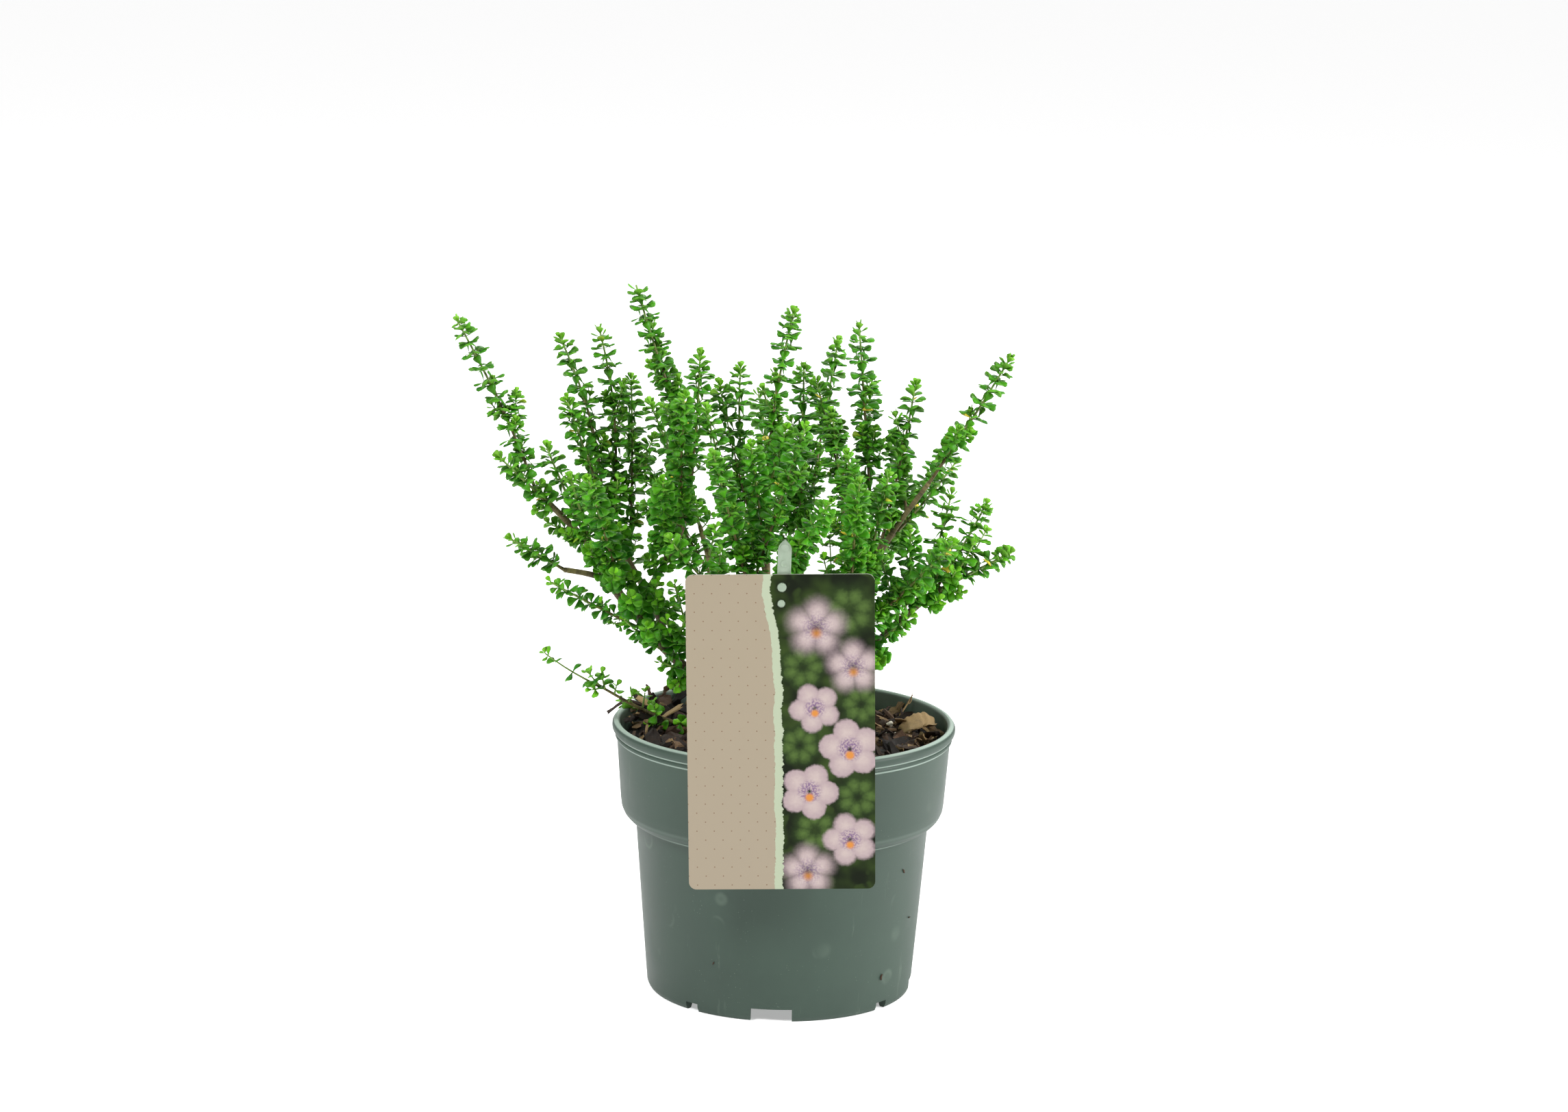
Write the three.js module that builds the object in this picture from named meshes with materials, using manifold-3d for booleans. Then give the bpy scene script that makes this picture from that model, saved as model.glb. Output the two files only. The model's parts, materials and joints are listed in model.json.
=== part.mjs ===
// A mint bush in a round nursery pot, with a printed label hung on a plastic stake.
// Millimetres, +Z up, with +X to the right and -Y towards the front, where the label hangs.
// Everything is built round the pot's axis, from the surface it stands on. The last step moves the
// whole plant, so that the middle of its box is over the origin.

import * as THREE from "three";
import { mergeVertices } from "three/addons/utils/BufferGeometryUtils.js";
import Module from "manifold-3d";

const wasm = await Module();
wasm.setup();

// Gap between pieces that touch
const GAP = 0.3;
// How far a face may move when small faces are merged into it
const FLATNESS = 0.02;
// Spacing of the balls that stand for a stem's room
const ROOM_STEP = 2.5;

const POT = {
  height: 147.3,
  wall: 2,
  sides: 36,
  footRadius: 71.3,
  bodyTop: { radius: 78.9, height: 93 },
  collarFoot: { radius: 87.1, height: 103 },
  collarTop: { radius: 89.7, height: 138.6 },
  bead: { radius: 92.3, height: 143.6, reach: 3.7 },
  floor: { under: 5, over: 7 },
  wideNotch: { width: 22, height: 7, angle: -3 },
  narrowNotch: { width: 8, height: 4.5, angle: -40 },
  notches: 4,
  drain: { radius: 5, ring: 42, sides: 12 },
};

const SOIL = {
  // Heights of the mulch in the middle and at the wall, and how much its outer ring is over the middle
  level: 129,
  edge: 135,
  dish: 8,
  sides: 36,
  rings: [0, 20, 46, 72],
  bottomRadius: 68.9,
};

// Bark pieces that lie on the mulch: middle, turn about +Z, length, width, thickness, end lift
const CHIPS = [
  { name: "tan_bark_chip", at: [70, 17], turn: 14, size: [22, 15, 2.6], lift: 5 },
  { name: "dark_bark_strip", at: [-75, 27], turn: 172, size: [42, 6, 2.2], lift: 11 },
  { name: "bark_chip_back", at: [-64, 40], turn: 70, size: [18, 10, 3], lift: 8 },
  { name: "bark_chip_front", at: [60, -24], turn: 6, size: [24, 10, 3], lift: 2 },
];

const LABEL = {
  width: 97,
  height: 169.2,
  thickness: 0.8,
  corner: 4,
  top: { x: -3.6, y: -98.9, z: 248.7 },
  tilt: 2.2,
  roll: 1.5,
};
// The two studs that carry the label, by their place on it: right of its middle, below its top
const STUDS = [
  { right: 1.0, below: 6.8, radius: 2.3 },
  { right: 0.6, below: 15.4, radius: 1.9 },
];
const STUD = { sides: 12, behind: 1.6, reach: 0.5 };

const STAKE = {
  width: 7,
  thickness: 1.1,
  // Distance in front of the pot's middle and height, from the buried point up to the tip
  route: [
    [70, 58],
    [78.5, 118],
    [84.6, 147],
    [92.6, 192],
    [96.4, 222],
    [98.1, 266.6],
  ],
  // How far right of the pot's middle its upper and lower ends stand
  lean: -1.2,
  foot: -4.6,
  steps: 14,
  hole: 0.4,
};

// Woody frame: each limb's route and its radius at the start and the end
const TRUNK_HEAD = [-1, 0, 134];
const LIMBS = {
  trunk: { radius: [5.4, 4.2], route: [[1, 2, 88], [0, 1, 112], TRUNK_HEAD] },
  left_main: {
    radius: [3.6, 1.5],
    route: [
      TRUNK_HEAD,
      [-22, -4, 150],
      [-54, -12, 178],
      [-79, -20, 207],
      [-97, -24, 231],
      [-106, -26, 248],
      [-133, -28, 276],
    ],
  },
  left_low: { radius: [1.7, 1.3], route: [[-95, -24, 228], [-106, -30, 232], [-117, -36, 235]] },
  left_fork: {
    radius: [2.2, 1.3],
    route: [[-60, -13, 184], [-71, 3, 208], [-88, 11, 236], [-100, 15, 266]],
  },
  left_mid: {
    radius: [2.3, 1.3],
    route: [[-66, -15, 192], [-75, -6, 211], [-65, 0, 233], [-56, 5, 252], [-51, 8, 290]],
  },
  left_back: {
    radius: [2.8, 1.3],
    route: [[-13, -3, 143], [-22, 20, 168], [-36, 42, 203], [-48, 60, 240]],
  },
  centre_back: {
    radius: [2.8, 1.3],
    route: [[0, 3, 158], [4, 23, 176], [8, 46, 207], [6, 60, 240]],
  },
  centre_up: {
    radius: [3.0, 1.4],
    route: [TRUNK_HEAD, [0, 4, 165], [-8, 4, 205], [-12, 4, 245]],
  },
  centre_front: {
    radius: [2.6, 1.3],
    route: [[-8, -2, 139], [-10, -20, 163], [-15, -42, 198], [-20, -56, 232]],
  },
  right_front: {
    radius: [2.6, 1.3],
    route: [[9, -3, 146], [15, -18, 165], [30, -40, 196], [40, -52, 228]],
  },
  right_low: {
    radius: [3.0, 1.4],
    route: [TRUNK_HEAD, [20, -6, 158], [48, -11, 192], [70, -15, 215], [88, -18, 228]],
  },
  right_up: {
    radius: [2.8, 1.3],
    route: [[15, -5, 153], [22, 3, 180], [36, 7, 212], [55, 10, 247], [75, 12, 276]],
  },
  right_back: {
    radius: [2.8, 1.3],
    route: [[-1, 2, 147], [14, 18, 168], [35, 37, 205], [46, 47, 240]],
  },
  creeping: {
    radius: [1.8, 1.1],
    route: [[0, 0, 133], [-18, 1, 136], [-40, 2, 140], [-61, 0, 145], [-79, -2, 153], [-98, -8, 165]],
  },
};
const LIMB_SIDES = 5;
// The woody base of each shoot, up to where it is clear of its limb
const STUB = { radius: [1, 1.5], end: 4, longest: 22, clear: 0.8, leastSine: 0.25 };

// Leafy shoots: how far along the limb each one starts, where it ends, and how far its middle
// leans to the right. A shoot's own side shoots start on it instead.
const SHOOTS = [
  { on: "left_main", at: 1, tip: [-175, -25, 365], bow: 8 },
  { on: "left_main", at: 0.9, tip: [-151, -44, 296] },
  { on: "left_main", at: 0.82, tip: [-128, -18, 297] },
  { on: "left_main", at: 0.68, tip: [-114, -44, 286] },
  { on: "left_main", at: 0.56, tip: [-103, -76, 291] },
  { on: "left_main", at: 0.44, tip: [-123, -58, 233] },
  { on: "left_main", at: 0.3, tip: [-66, -38, 187] },
  { on: "left_main", at: 0.36, tip: [-85, -42, 210] },
  { on: "left_main", at: 0.26, tip: [-59, -34, 228] },
  { on: "left_low", at: 1, tip: [-145, -46, 253] },
  { on: "left_fork", at: 1, tip: [-123, 15, 350], bow: 12 },
  { on: "left_fork", at: 0.74, tip: [-118, -6, 320] },
  { on: "left_fork", at: 0.86, tip: [-103, 36, 351], bow: 12 },
  { on: "left_fork", at: 0.6, tip: [-86, 42, 324] },
  { on: "left_fork", at: 0.45, tip: [-114, 52, 266] },
  { on: "left_mid", at: 1, tip: [-83, 10, 380.5], side: [{ at: 0.3, tip: [-70, 26, 341] }] },
  { on: "left_mid", at: 0.9, tip: [-48, -12, 347] },
  { on: "left_mid", at: 0.72, tip: [-55, -60, 333] },
  { on: "left_mid", at: 0.5, tip: [-65, -64, 289] },
  { on: "left_back", at: 1, tip: [-77, 86, 303] },
  { on: "left_back", at: 0.75, tip: [-98, 94, 298], side: [{ at: 0.35, tip: [-64, 120, 304] }] },
  { on: "centre_up", at: 1, tip: [1, 0, 369], bow: -7, side: [{ at: 0.2, tip: [-2, -24, 310] }] },
  { on: "centre_up", at: 0.88, tip: [-20, -46, 305] },
  { on: "centre_up", at: 0.8, tip: [-27, 32, 333], bow: -12, side: [{ at: 0.3, tip: [-38, 8, 328] }] },
  { on: "centre_front", at: 1, tip: [-39, -84, 308] },
  { on: "centre_front", at: 0.9, tip: [-44, -38, 323] },
  { on: "centre_front", at: 0.96, tip: [8, -78, 321] },
  { on: "centre_front", at: 0.8, tip: [21, -111.8, 289] },
  { on: "centre_front", at: 0.7, tip: [-61, -82, 262] },
  { on: "centre_back", at: 1, tip: [-15, 64, 316] },
  { on: "centre_back", at: 0.9, tip: [7, 46, 332] },
  { on: "centre_back", at: 0.72, tip: [-18, 130, 302] },
  { on: "centre_back", at: 0.82, tip: [26, 118, 334] },
  { on: "right_back", at: 1, tip: [36, 25, 358], side: [{ at: 0.25, tip: [44, 60, 324] }] },
  { on: "right_back", at: 0.86, tip: [14, 40, 325] },
  { on: "right_back", at: 0.66, tip: [84, 108, 269] },
  { on: "right_up", at: 1, tip: [116, 15, 343], side: [{ at: 0.3, tip: [89, -8, 309] }] },
  { on: "right_up", at: 0.66, tip: [67, 30, 326] },
  { on: "right_up", at: 0.86, tip: [57, 64, 292] },
  { on: "right_up", at: 0.72, tip: [90, 36, 283] },
  { on: "right_low", at: 1, tip: [119.3, -20, 246] },
  { on: "right_low", at: 0.84, tip: [105, -4, 268] },
  { on: "right_low", at: 0.66, tip: [64, -48, 262] },
  { on: "right_low", at: 0.5, tip: [66, -40, 215] },
  { on: "right_front", at: 1, tip: [30, -68, 306] },
  { on: "right_front", at: 0.9, tip: [52, -50, 292] },
  { on: "right_front", at: 0.78, tip: [36, -100, 297] },
  { on: "right_front", at: 0.84, tip: [22, -16, 318] },
  { on: "right_front", at: 0.66, tip: [86, -78, 262] },
  { on: "creeping", at: 1, tip: [-128, -20, 186] },
  { on: "right_low", at: 0.78, tip: [87, 4, 272] },
];

const SHOOT = {
  // Radius at the ends of the leafy stem, and how much the core of its tufts adds half way along
  radius: 1.3,
  core: 0.7,
  step: 40,
  bow: 5,
  sink: 0.03,
  // The leafy stem stops this far short of the tip, where the last leaves take over
  bud: 3.5,
};

const SPRIG = {
  spacing: 95,
  radius: 1.1,
  core: 0.5,
  // Shortest length, and what chance may add to it
  length: [22, 14],
  bare: 9,
  clear: 4,
  // The share of the shoot that carries them
  zone: [0.24, 0.5],
};

// Leaf: a wedge that widens to its blunt end, with a ridge along the top of its middle
const LEAF = {
  length: 7.6,
  width: 7.6,
  thickness: 1.4,
  ridge: 0.74,
  // The root lies this far beyond the stem's middle
  root: 0.4,
  spacing: 14,
  // The share of a shoot that is bare at its foot, and the length at its tip with young leaves
  bare: 0.14,
  young: 18,
  spread: [62, 38],
  clear: 0.45,
  // Radii of the balls that stand for its room, from near the root to its end
  room: [1.6, 2.6, 3.6],
};

const MATERIALS = {
  pot: { color: "#6f8481", roughness: 0.55, metalness: 0 },
  soil: { color: "#2c1d15", roughness: 0.95, metalness: 0 },
  bark: { color: "#3d2618", roughness: 0.9, metalness: 0 },
  pale_bark: { color: "#8d6242", roughness: 0.85, metalness: 0 },
  wood: { color: "#6a5440", roughness: 0.8, metalness: 0 },
  leaf: { color: "#2f7a26", roughness: 0.45, metalness: 0 },
  stake: { color: "#c9d9d2", roughness: 0.35, metalness: 0 },
  label: { color: "#d9bfae", roughness: 0.4, metalness: 0 },
};

const plant = new THREE.Group();
const finishes = Object.fromEntries(
  Object.entries(MATERIALS).map(([name, look]) => [
    name,
    new THREE.MeshStandardMaterial({ ...look, flatShading: true }),
  ]),
);

// A repeatable number from 0 to 1 for each whole number n
function chance(n) {
  const wave = Math.sin(n * 12.9898 + 4.1414) * 43758.5453;
  return wave - Math.floor(wave);
}

function radians(degrees) {
  return (degrees * Math.PI) / 180;
}

function point(xyz) {
  return new THREE.Vector3(...xyz);
}

// A closed three.js geometry as a solid that can be joined and cut
function solid(geometry) {
  const bare = new THREE.BufferGeometry();
  bare.setAttribute("position", geometry.getAttribute("position"));
  bare.setIndex(geometry.index);
  const merged = mergeVertices(bare, 1e-4);
  return new wasm.Manifold(
    new wasm.Mesh({
      numProp: 3,
      vertProperties: new Float32Array(merged.getAttribute("position").array),
      triVerts: new Uint32Array(merged.index.array),
    }),
  );
}

// The largest body of a solid, with its flat faces merged: cavities are filled, scraps dropped
function largest(body) {
  const whole = body.decompose().reduce((a, b) => (b.volume() > a.volume() ? b : a));
  return whole.asOriginal().simplify(FLATNESS);
}

function addPiece(name, body, finish) {
  const made = body.getMesh();
  const geometry = new THREE.BufferGeometry();
  geometry.setAttribute("position", new THREE.BufferAttribute(made.vertProperties, 3));
  geometry.setIndex(new THREE.BufferAttribute(made.triVerts, 1));
  geometry.computeVertexNormals();
  const piece = new THREE.Mesh(geometry, finishes[finish]);
  piece.name = name;
  plant.add(piece);
}

// A surface of revolution about +Z from a closed profile of [radius, height]
function turned(profile, sides) {
  const outline = [...profile, profile[0]].map(([r, z]) => new THREE.Vector2(r, z));
  const geometry = new THREE.LatheGeometry(outline, sides);
  geometry.rotateX(Math.PI / 2);
  return solid(geometry);
}

// A box that stands at an angle round the pot, its middle at a radius
function radialBox(width, depth, bottom, top, radius, angle) {
  const geometry = new THREE.BoxGeometry(width, depth, top - bottom);
  geometry.translate(0, -radius, (top + bottom) / 2);
  geometry.rotateZ(radians(angle));
  return solid(geometry);
}

// Side frame of a stem: two directions square to its run
function across(run) {
  const reference = Math.abs(run.y) < 0.9 ? new THREE.Vector3(0, 1, 0) : new THREE.Vector3(1, 0, 0);
  const first = reference.cross(run).normalize();
  return [first, run.clone().cross(first)];
}

// A radius that changes evenly from one end of a stem to the other
function taper([start, end]) {
  return (share) => start + (end - start) * share;
}

// The radius of a leafy stem: its ends plus the core of its tufts
function leafyRadius({ radius, core }) {
  return (share) => radius + core * Math.sin(Math.PI * share);
}

// The straight run from a curve's start to its end
function chord(curve) {
  return curve.getPoint(1).sub(curve.getPoint(0)).normalize();
}

// A stem through the points of a curve between two shares of it, turned about its run, whose
// radius is a function of the share of its own length.
// All its sections are square to the curve's chord, so that its faces are flat.
function stem(curve, [from, to], radiusAt, sides, steps, turned = 0) {
  const [first, second] = across(chord(curve));
  const positions = [];
  const index = [];
  for (let i = 0; i <= steps; i++) {
    const share = from + ((to - from) * i) / steps;
    const middle = curve.getPoint(share);
    const r = radiusAt(i / steps);
    for (let j = 0; j < sides; j++) {
      const turn = turned + (2 * Math.PI * (j + 0.5)) / sides;
      const rim = middle.clone();
      rim.addScaledVector(first, r * Math.cos(turn));
      rim.addScaledVector(second, r * Math.sin(turn));
      positions.push(rim.x, rim.y, rim.z);
    }
  }
  for (let i = 0; i < steps; i++) {
    for (let j = 0; j < sides; j++) {
      const a = i * sides + j;
      const b = i * sides + ((j + 1) % sides);
      index.push(a, b, b + sides, a, b + sides, a + sides);
    }
  }
  const last = steps * sides;
  for (let j = 1; j < sides - 1; j++) {
    index.push(0, j + 1, j, last, last + j, last + j + 1);
  }
  const geometry = new THREE.BufferGeometry();
  geometry.setAttribute("position", new THREE.Float32BufferAttribute(positions, 3));
  geometry.setIndex(index);
  return solid(geometry);
}

function makePot() {
  const { bodyTop, collarFoot, collarTop, bead, floor, footRadius, wall, height } = POT;
  const profile = [
    [0, floor.under],
    [footRadius - 5.5, floor.under],
    [footRadius - 3.6, 0],
    [footRadius - 0.7, 0],
    [footRadius + 0.4, 2.4],
    [bodyTop.radius, bodyTop.height],
    [collarFoot.radius - 1.5, bodyTop.height + 2.6],
    [collarFoot.radius - 0.3, bodyTop.height + 6],
    [collarFoot.radius, collarFoot.height],
    [collarTop.radius, collarTop.height],
    [bead.radius - 0.6, collarTop.height + 1.4],
    [bead.radius, bead.height - 1.2],
    [bead.radius, bead.height + 1.6],
    [bead.radius - 1.2, height - 0.4],
    [bead.radius - bead.reach + 0.8, height],
    [bead.radius - bead.reach - 0.6, height - 1.4],
    [collarTop.radius - wall, collarTop.height],
    [collarFoot.radius - wall, collarFoot.height],
    [bodyTop.radius - wall, bodyTop.height + 1.5],
    [footRadius - wall + 0.4, floor.over],
    [0, floor.over],
  ];
  let body = turned(profile, POT.sides);
  for (const notch of [POT.wideNotch, POT.narrowNotch]) {
    for (let i = 0; i < POT.notches; i++) {
      const angle = notch.angle + (360 / POT.notches) * i;
      body = body.subtract(radialBox(notch.width, 12, -1, notch.height, footRadius - 2, angle));
    }
  }
  for (let i = 0; i < POT.notches; i++) {
    const hole = new THREE.CylinderGeometry(POT.drain.radius, POT.drain.radius, 6, POT.drain.sides);
    hole.rotateX(Math.PI / 2);
    hole.translate(POT.drain.ring, 0, (floor.under + floor.over) / 2);
    hole.rotateZ(radians(45 + (360 / POT.notches) * i));
    body = body.subtract(solid(hole));
  }
  addPiece("pot", largest(body), "pot");
}

// Height of the mulch over a place in the pot: it dips towards the trunk
function soilHeight(x, y) {
  const dip = (SOIL.dish * (x ** 2 + y ** 2)) / SOIL.rings.at(-1) ** 2;
  const lumps = 1.3 * Math.sin(x / 6.1 + 0.8) * Math.cos(y / 7.3 + 0.4);
  return SOIL.level + dip + lumps + 0.9 * Math.sin((x + y) / 4.7);
}

function makeSoil() {
  const { collarTop, collarFoot, bodyTop, floor, wall } = POT;
  const slack = wall + GAP;
  const collarShare = (SOIL.edge - collarFoot.height) / (collarTop.height - collarFoot.height);
  // A height that only the rings of the mulch's top have, until each point takes its own
  const top = SOIL.edge + 1;
  const topRadius = collarFoot.radius + (collarTop.radius - collarFoot.radius) * collarShare - slack;
  const profile = [
    [0, floor.over + GAP],
    [SOIL.bottomRadius, floor.over + GAP],
    [bodyTop.radius - slack - 0.1, bodyTop.height + 1.2],
    [collarFoot.radius - slack - 0.1, collarFoot.height + 0.3],
    [topRadius, SOIL.edge],
    ...SOIL.rings.toReversed().map((r) => [r, top]),
  ];
  const outline = profile.map(([r, z]) => new THREE.Vector2(r, z));
  const geometry = new THREE.LatheGeometry(outline, SOIL.sides);
  geometry.rotateX(Math.PI / 2);
  const places = geometry.getAttribute("position");
  for (let i = 0; i < places.count; i++) {
    if (places.getZ(i) > SOIL.edge) {
      places.setZ(i, soilHeight(places.getX(i), places.getY(i)));
    }
  }
  return solid(geometry);
}

// A curve through an outline's routes: the limb called name
function limbCurve(name) {
  return new THREE.CatmullRomCurve3(LIMBS[name].route.map(point), false, "catmullrom");
}

// The room in the soil that the trunk stands in
function trunkHole() {
  const [bottom, ...rest] = LIMBS.trunk.route.map(point);
  bottom.z -= GAP;
  const line = new THREE.CatmullRomCurve3([bottom, ...rest], false, "catmullrom");
  const radius = LIMBS.trunk.radius.map((r) => r + 2 * GAP);
  return stem(line, [0, 1], taper(radius), LIMB_SIDES, LIMBS.trunk.route.length - 1);
}

function makeStakeCurve() {
  const { route, lean, foot } = STAKE;
  const low = route[0][1];
  const rise = route.at(-1)[1] - low;
  const places = route.map(([front, z]) => point([foot + (lean - foot) * ((z - low) / rise), -front, z]));
  return new THREE.CatmullRomCurve3(places, false, "catmullrom");
}

// The stake: a flat strip along its curve, pointed at both ends, as wide as its half width says
function stakeStrip(grow) {
  const curve = makeStakeCurve();
  const { steps } = STAKE;
  const positions = [];
  const index = [];
  for (let i = 0; i <= steps; i++) {
    const share = i / steps;
    const middle = curve.getPoint(share);
    const run = curve.getTangent(share);
    const side = new THREE.Vector3(1, 0, 0).addScaledVector(run, -run.x).normalize();
    const face = side.clone().cross(run);
    const end = Math.min(1, 0.32 + Math.min(share, 1 - share) * 14);
    for (const [u, v] of [[-1, -1], [1, -1], [1, 1], [-1, 1]]) {
      const corner = middle.clone();
      corner.addScaledVector(side, u * ((STAKE.width / 2) * end + grow));
      corner.addScaledVector(face, v * (STAKE.thickness / 2 + grow));
      positions.push(corner.x, corner.y, corner.z);
    }
  }
  for (let i = 0; i < steps; i++) {
    for (let j = 0; j < 4; j++) {
      const a = i * 4 + j;
      const b = i * 4 + ((j + 1) % 4);
      index.push(a, b, b + 4, a, b + 4, a + 4);
    }
  }
  const last = steps * 4;
  index.push(0, 2, 1, 0, 3, 2, last, last + 1, last + 2, last, last + 2, last + 3);
  const geometry = new THREE.BufferGeometry();
  geometry.setAttribute("position", new THREE.Float32BufferAttribute(positions, 3));
  geometry.setIndex(index);
  const body = solid(geometry);
  if (body.volume() > 0) {
    return body;
  }
  geometry.setIndex(index.toReversed());
  return solid(geometry);
}

// Places a geometry drawn on the label, with x to its right, y up from its top edge, on the label
function onLabel(geometry) {
  geometry.rotateX(Math.PI / 2);
  geometry.rotateY(radians(-LABEL.roll));
  geometry.rotateX(radians(LABEL.tilt));
  geometry.translate(LABEL.top.x, LABEL.top.y, LABEL.top.z);
  return solid(geometry);
}

function studSolid(stud, radius, from, to) {
  const geometry = new THREE.CylinderGeometry(radius, radius, to - from, STUD.sides);
  geometry.rotateX(Math.PI / 2);
  geometry.translate(stud.right, -stud.below, (from + to) / 2);
  return onLabel(geometry);
}

function makeLabel() {
  const { width, height, corner, thickness } = LABEL;
  const card = new THREE.Shape();
  const half = width / 2;
  card.moveTo(-half + corner, 0);
  card.absarc(-half + corner, -corner, corner, Math.PI / 2, Math.PI, false);
  card.absarc(-half + corner, -height + corner, corner, Math.PI, 1.5 * Math.PI, false);
  card.absarc(half - corner, -height + corner, corner, 1.5 * Math.PI, 2 * Math.PI, false);
  card.absarc(half - corner, -corner, corner, 0, Math.PI / 2, false);
  const geometry = new THREE.ExtrudeGeometry(card, {
    depth: thickness,
    bevelEnabled: false,
    curveSegments: 3,
  });
  let body = onLabel(geometry);
  for (const stud of STUDS) {
    body = body.subtract(studSolid(stud, stud.radius + GAP, -2, 3));
  }
  addPiece("label", largest(body), "label");
}

function makeStake() {
  let body = stakeStrip(0);
  for (const stud of STUDS) {
    body = body.add(studSolid(stud, stud.radius, -STUD.behind, LABEL.thickness + STUD.reach));
  }
  addPiece("label_stake", largest(body), "stake");
}

// A leafy stem's own line: it leaves its limb, bows a little and ends at its tip
function shootCurve(start, tip, number, bow = 0) {
  const middle = start.clone().lerp(tip, 0.5);
  middle.x += bow + SHOOT.bow * (chance(number * 3) - 0.5);
  middle.y += SHOOT.bow * (chance(number * 3 + 1) - 0.5);
  middle.z -= SHOOT.sink * start.distanceTo(tip);
  return new THREE.QuadraticBezierCurve3(start, middle, tip);
}

// How many straight steps a stem of a length is drawn with
function stemSteps(curve) {
  return Math.max(2, Math.round(curve.getLength() / SHOOT.step));
}

// How far along its curve a shoot is woody: until it is clear of the limb it grows from
function woodyShare(curve, limb, at) {
  const limbRun = limbCurve(limb).getTangent(at);
  const angle = curve.getTangent(0).angleTo(limbRun);
  const [thick, thin] = LIMBS[limb].radius;
  const limbRadius = thick + (thin - thick) * at;
  const rise = Math.max(Math.sin(angle), STUB.leastSine);
  const needed = (limbRadius + STUB.radius[1] + STUB.clear) / rise;
  const length = at === 1 ? STUB.end : Math.min(needed, STUB.longest);
  return length / curve.getLength();
}

// All shoots with their lines worked out
function planShoots() {
  const counts = {};
  return SHOOTS.map((entry, number) => {
    counts[entry.on] = (counts[entry.on] ?? 0) + 1;
    const start = limbCurve(entry.on).getPoint(entry.at);
    const curve = shootCurve(start, point(entry.tip), number, entry.bow);
    const woody = woodyShare(curve, entry.on, entry.at);
    const sprigs = (entry.side ?? []).map(({ at, tip }, k) =>
      shootCurve(curve.getPoint(at), point(tip), 100 + number * 5 + k),
    );
    return { name: `${entry.on}_shoot_${counts[entry.on]}`, number, curve, woody, sprigs };
  });
}

// Short side sprigs of a shoot, by a seeded rule: they leave it round all sides and turn up
function seededSprigs(shoot) {
  const length = shoot.curve.getLength();
  const count = Math.floor(length / SPRIG.spacing);
  const made = [];
  for (let k = 0; k < count; k++) {
    const seed = 1000 + shoot.number * 31 + k * 7;
    const at = SPRIG.zone[0] + (SPRIG.zone[1] * (k + chance(seed))) / count;
    const start = shoot.curve.getPoint(at);
    const run = shoot.curve.getTangent(at);
    const [first, second] = across(run);
    const turn = 2.4 * (k + 3 * shoot.number) + chance(seed + 1);
    const out = first.multiplyScalar(Math.cos(turn)).addScaledVector(second, Math.sin(turn));
    const heading = run.clone().multiplyScalar(0.8).addScaledVector(out, 0.5);
    heading.z += 0.35;
    const reach = SPRIG.length[0] + SPRIG.length[1] * chance(seed + 2);
    const tip = start.clone().addScaledVector(heading.normalize(), reach * (1.1 - 0.6 * at));
    made.push(new THREE.LineCurve3(start, tip));
  }
  return made;
}

// Balls along a curve that stand for the room a stem takes up
function room(curve, from, to, radius, owner) {
  const count = Math.max(2, Math.ceil((curve.getLength() * (to - from)) / ROOM_STEP));
  return Array.from({ length: count + 1 }, (_, i) => {
    const share = from + ((to - from) * i) / count;
    return { owner, centre: curve.getPoint(share), radius };
  });
}

function leafPlaces(leaf) {
  return [0.45, 0.72, 0.97].map((share, i) => ({
    owner: leaf.owner,
    centre: leaf.root.clone().addScaledVector(leaf.out, leaf.length * share),
    radius: LEAF.room[i],
  }));
}

function isClear(balls, taken, spare) {
  return balls.every((ball) =>
    taken.every(
      (other) =>
        other.owner === ball.owner ||
        other.centre.distanceTo(ball.centre) > other.radius + ball.radius + spare,
    ),
  );
}

// Where the leaves of one leafy stem stand: opposite pairs, each pair square to the last
function leafStations(curve, owner, from, turnSeed) {
  const length = curve.getLength();
  const end = 1 - (SHOOT.bud + 1) / length;
  const count = Math.max(1, Math.round(((end - from) * length) / LEAF.spacing));
  const run = chord(curve);
  const [first, second] = across(run);
  const leaves = [];
  for (let i = 0; i <= count; i++) {
    const share = from + ((end - from) * i) / count;
    const youth = Math.max(0, 1 - ((end - share) * length) / LEAF.young);
    const spread = radians(LEAF.spread[0] + (LEAF.spread[1] - LEAF.spread[0]) * youth);
    for (const side of [0, Math.PI]) {
      const turn = turnSeed + (i * Math.PI) / 2 + side;
      const sideways = first.clone().multiplyScalar(Math.cos(turn));
      sideways.addScaledVector(second, Math.sin(turn));
      const out = run.clone().multiplyScalar(Math.cos(spread));
      out.addScaledVector(sideways, Math.sin(spread));
      leaves.push({
        owner,
        root: curve.getPoint(share),
        out: out.normalize(),
        run,
        length: LEAF.length * (1 - 0.25 * youth),
      });
    }
  }
  return leaves;
}

// One leaf as a solid: flat below, with slopes above that meet in the ridge's high end
function leafSolid(leaf) {
  const { width, thickness, root, ridge } = LEAF;
  const side = leaf.run.clone().cross(leaf.out).normalize();
  const over = leaf.out.clone().cross(side);
  const half = (width / 2) * (leaf.length / LEAF.length);
  const places = [
    [-root, 0, -thickness / 3],
    [leaf.length, -half, -thickness / 3],
    [leaf.length, half, -thickness / 3],
    [ridge * leaf.length, 0, thickness],
  ];
  const positions = places.flatMap(([along, aside, up]) => {
    const corner = leaf.root.clone();
    corner.addScaledVector(leaf.out, along);
    corner.addScaledVector(side, aside);
    corner.addScaledVector(over, up);
    return [corner.x, corner.y, corner.z];
  });
  const geometry = new THREE.BufferGeometry();
  geometry.setAttribute("position", new THREE.Float32BufferAttribute(positions, 3));
  geometry.setIndex([0, 1, 3, 0, 3, 2, 1, 2, 3, 0, 2, 1]);
  return solid(geometry);
}

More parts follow.
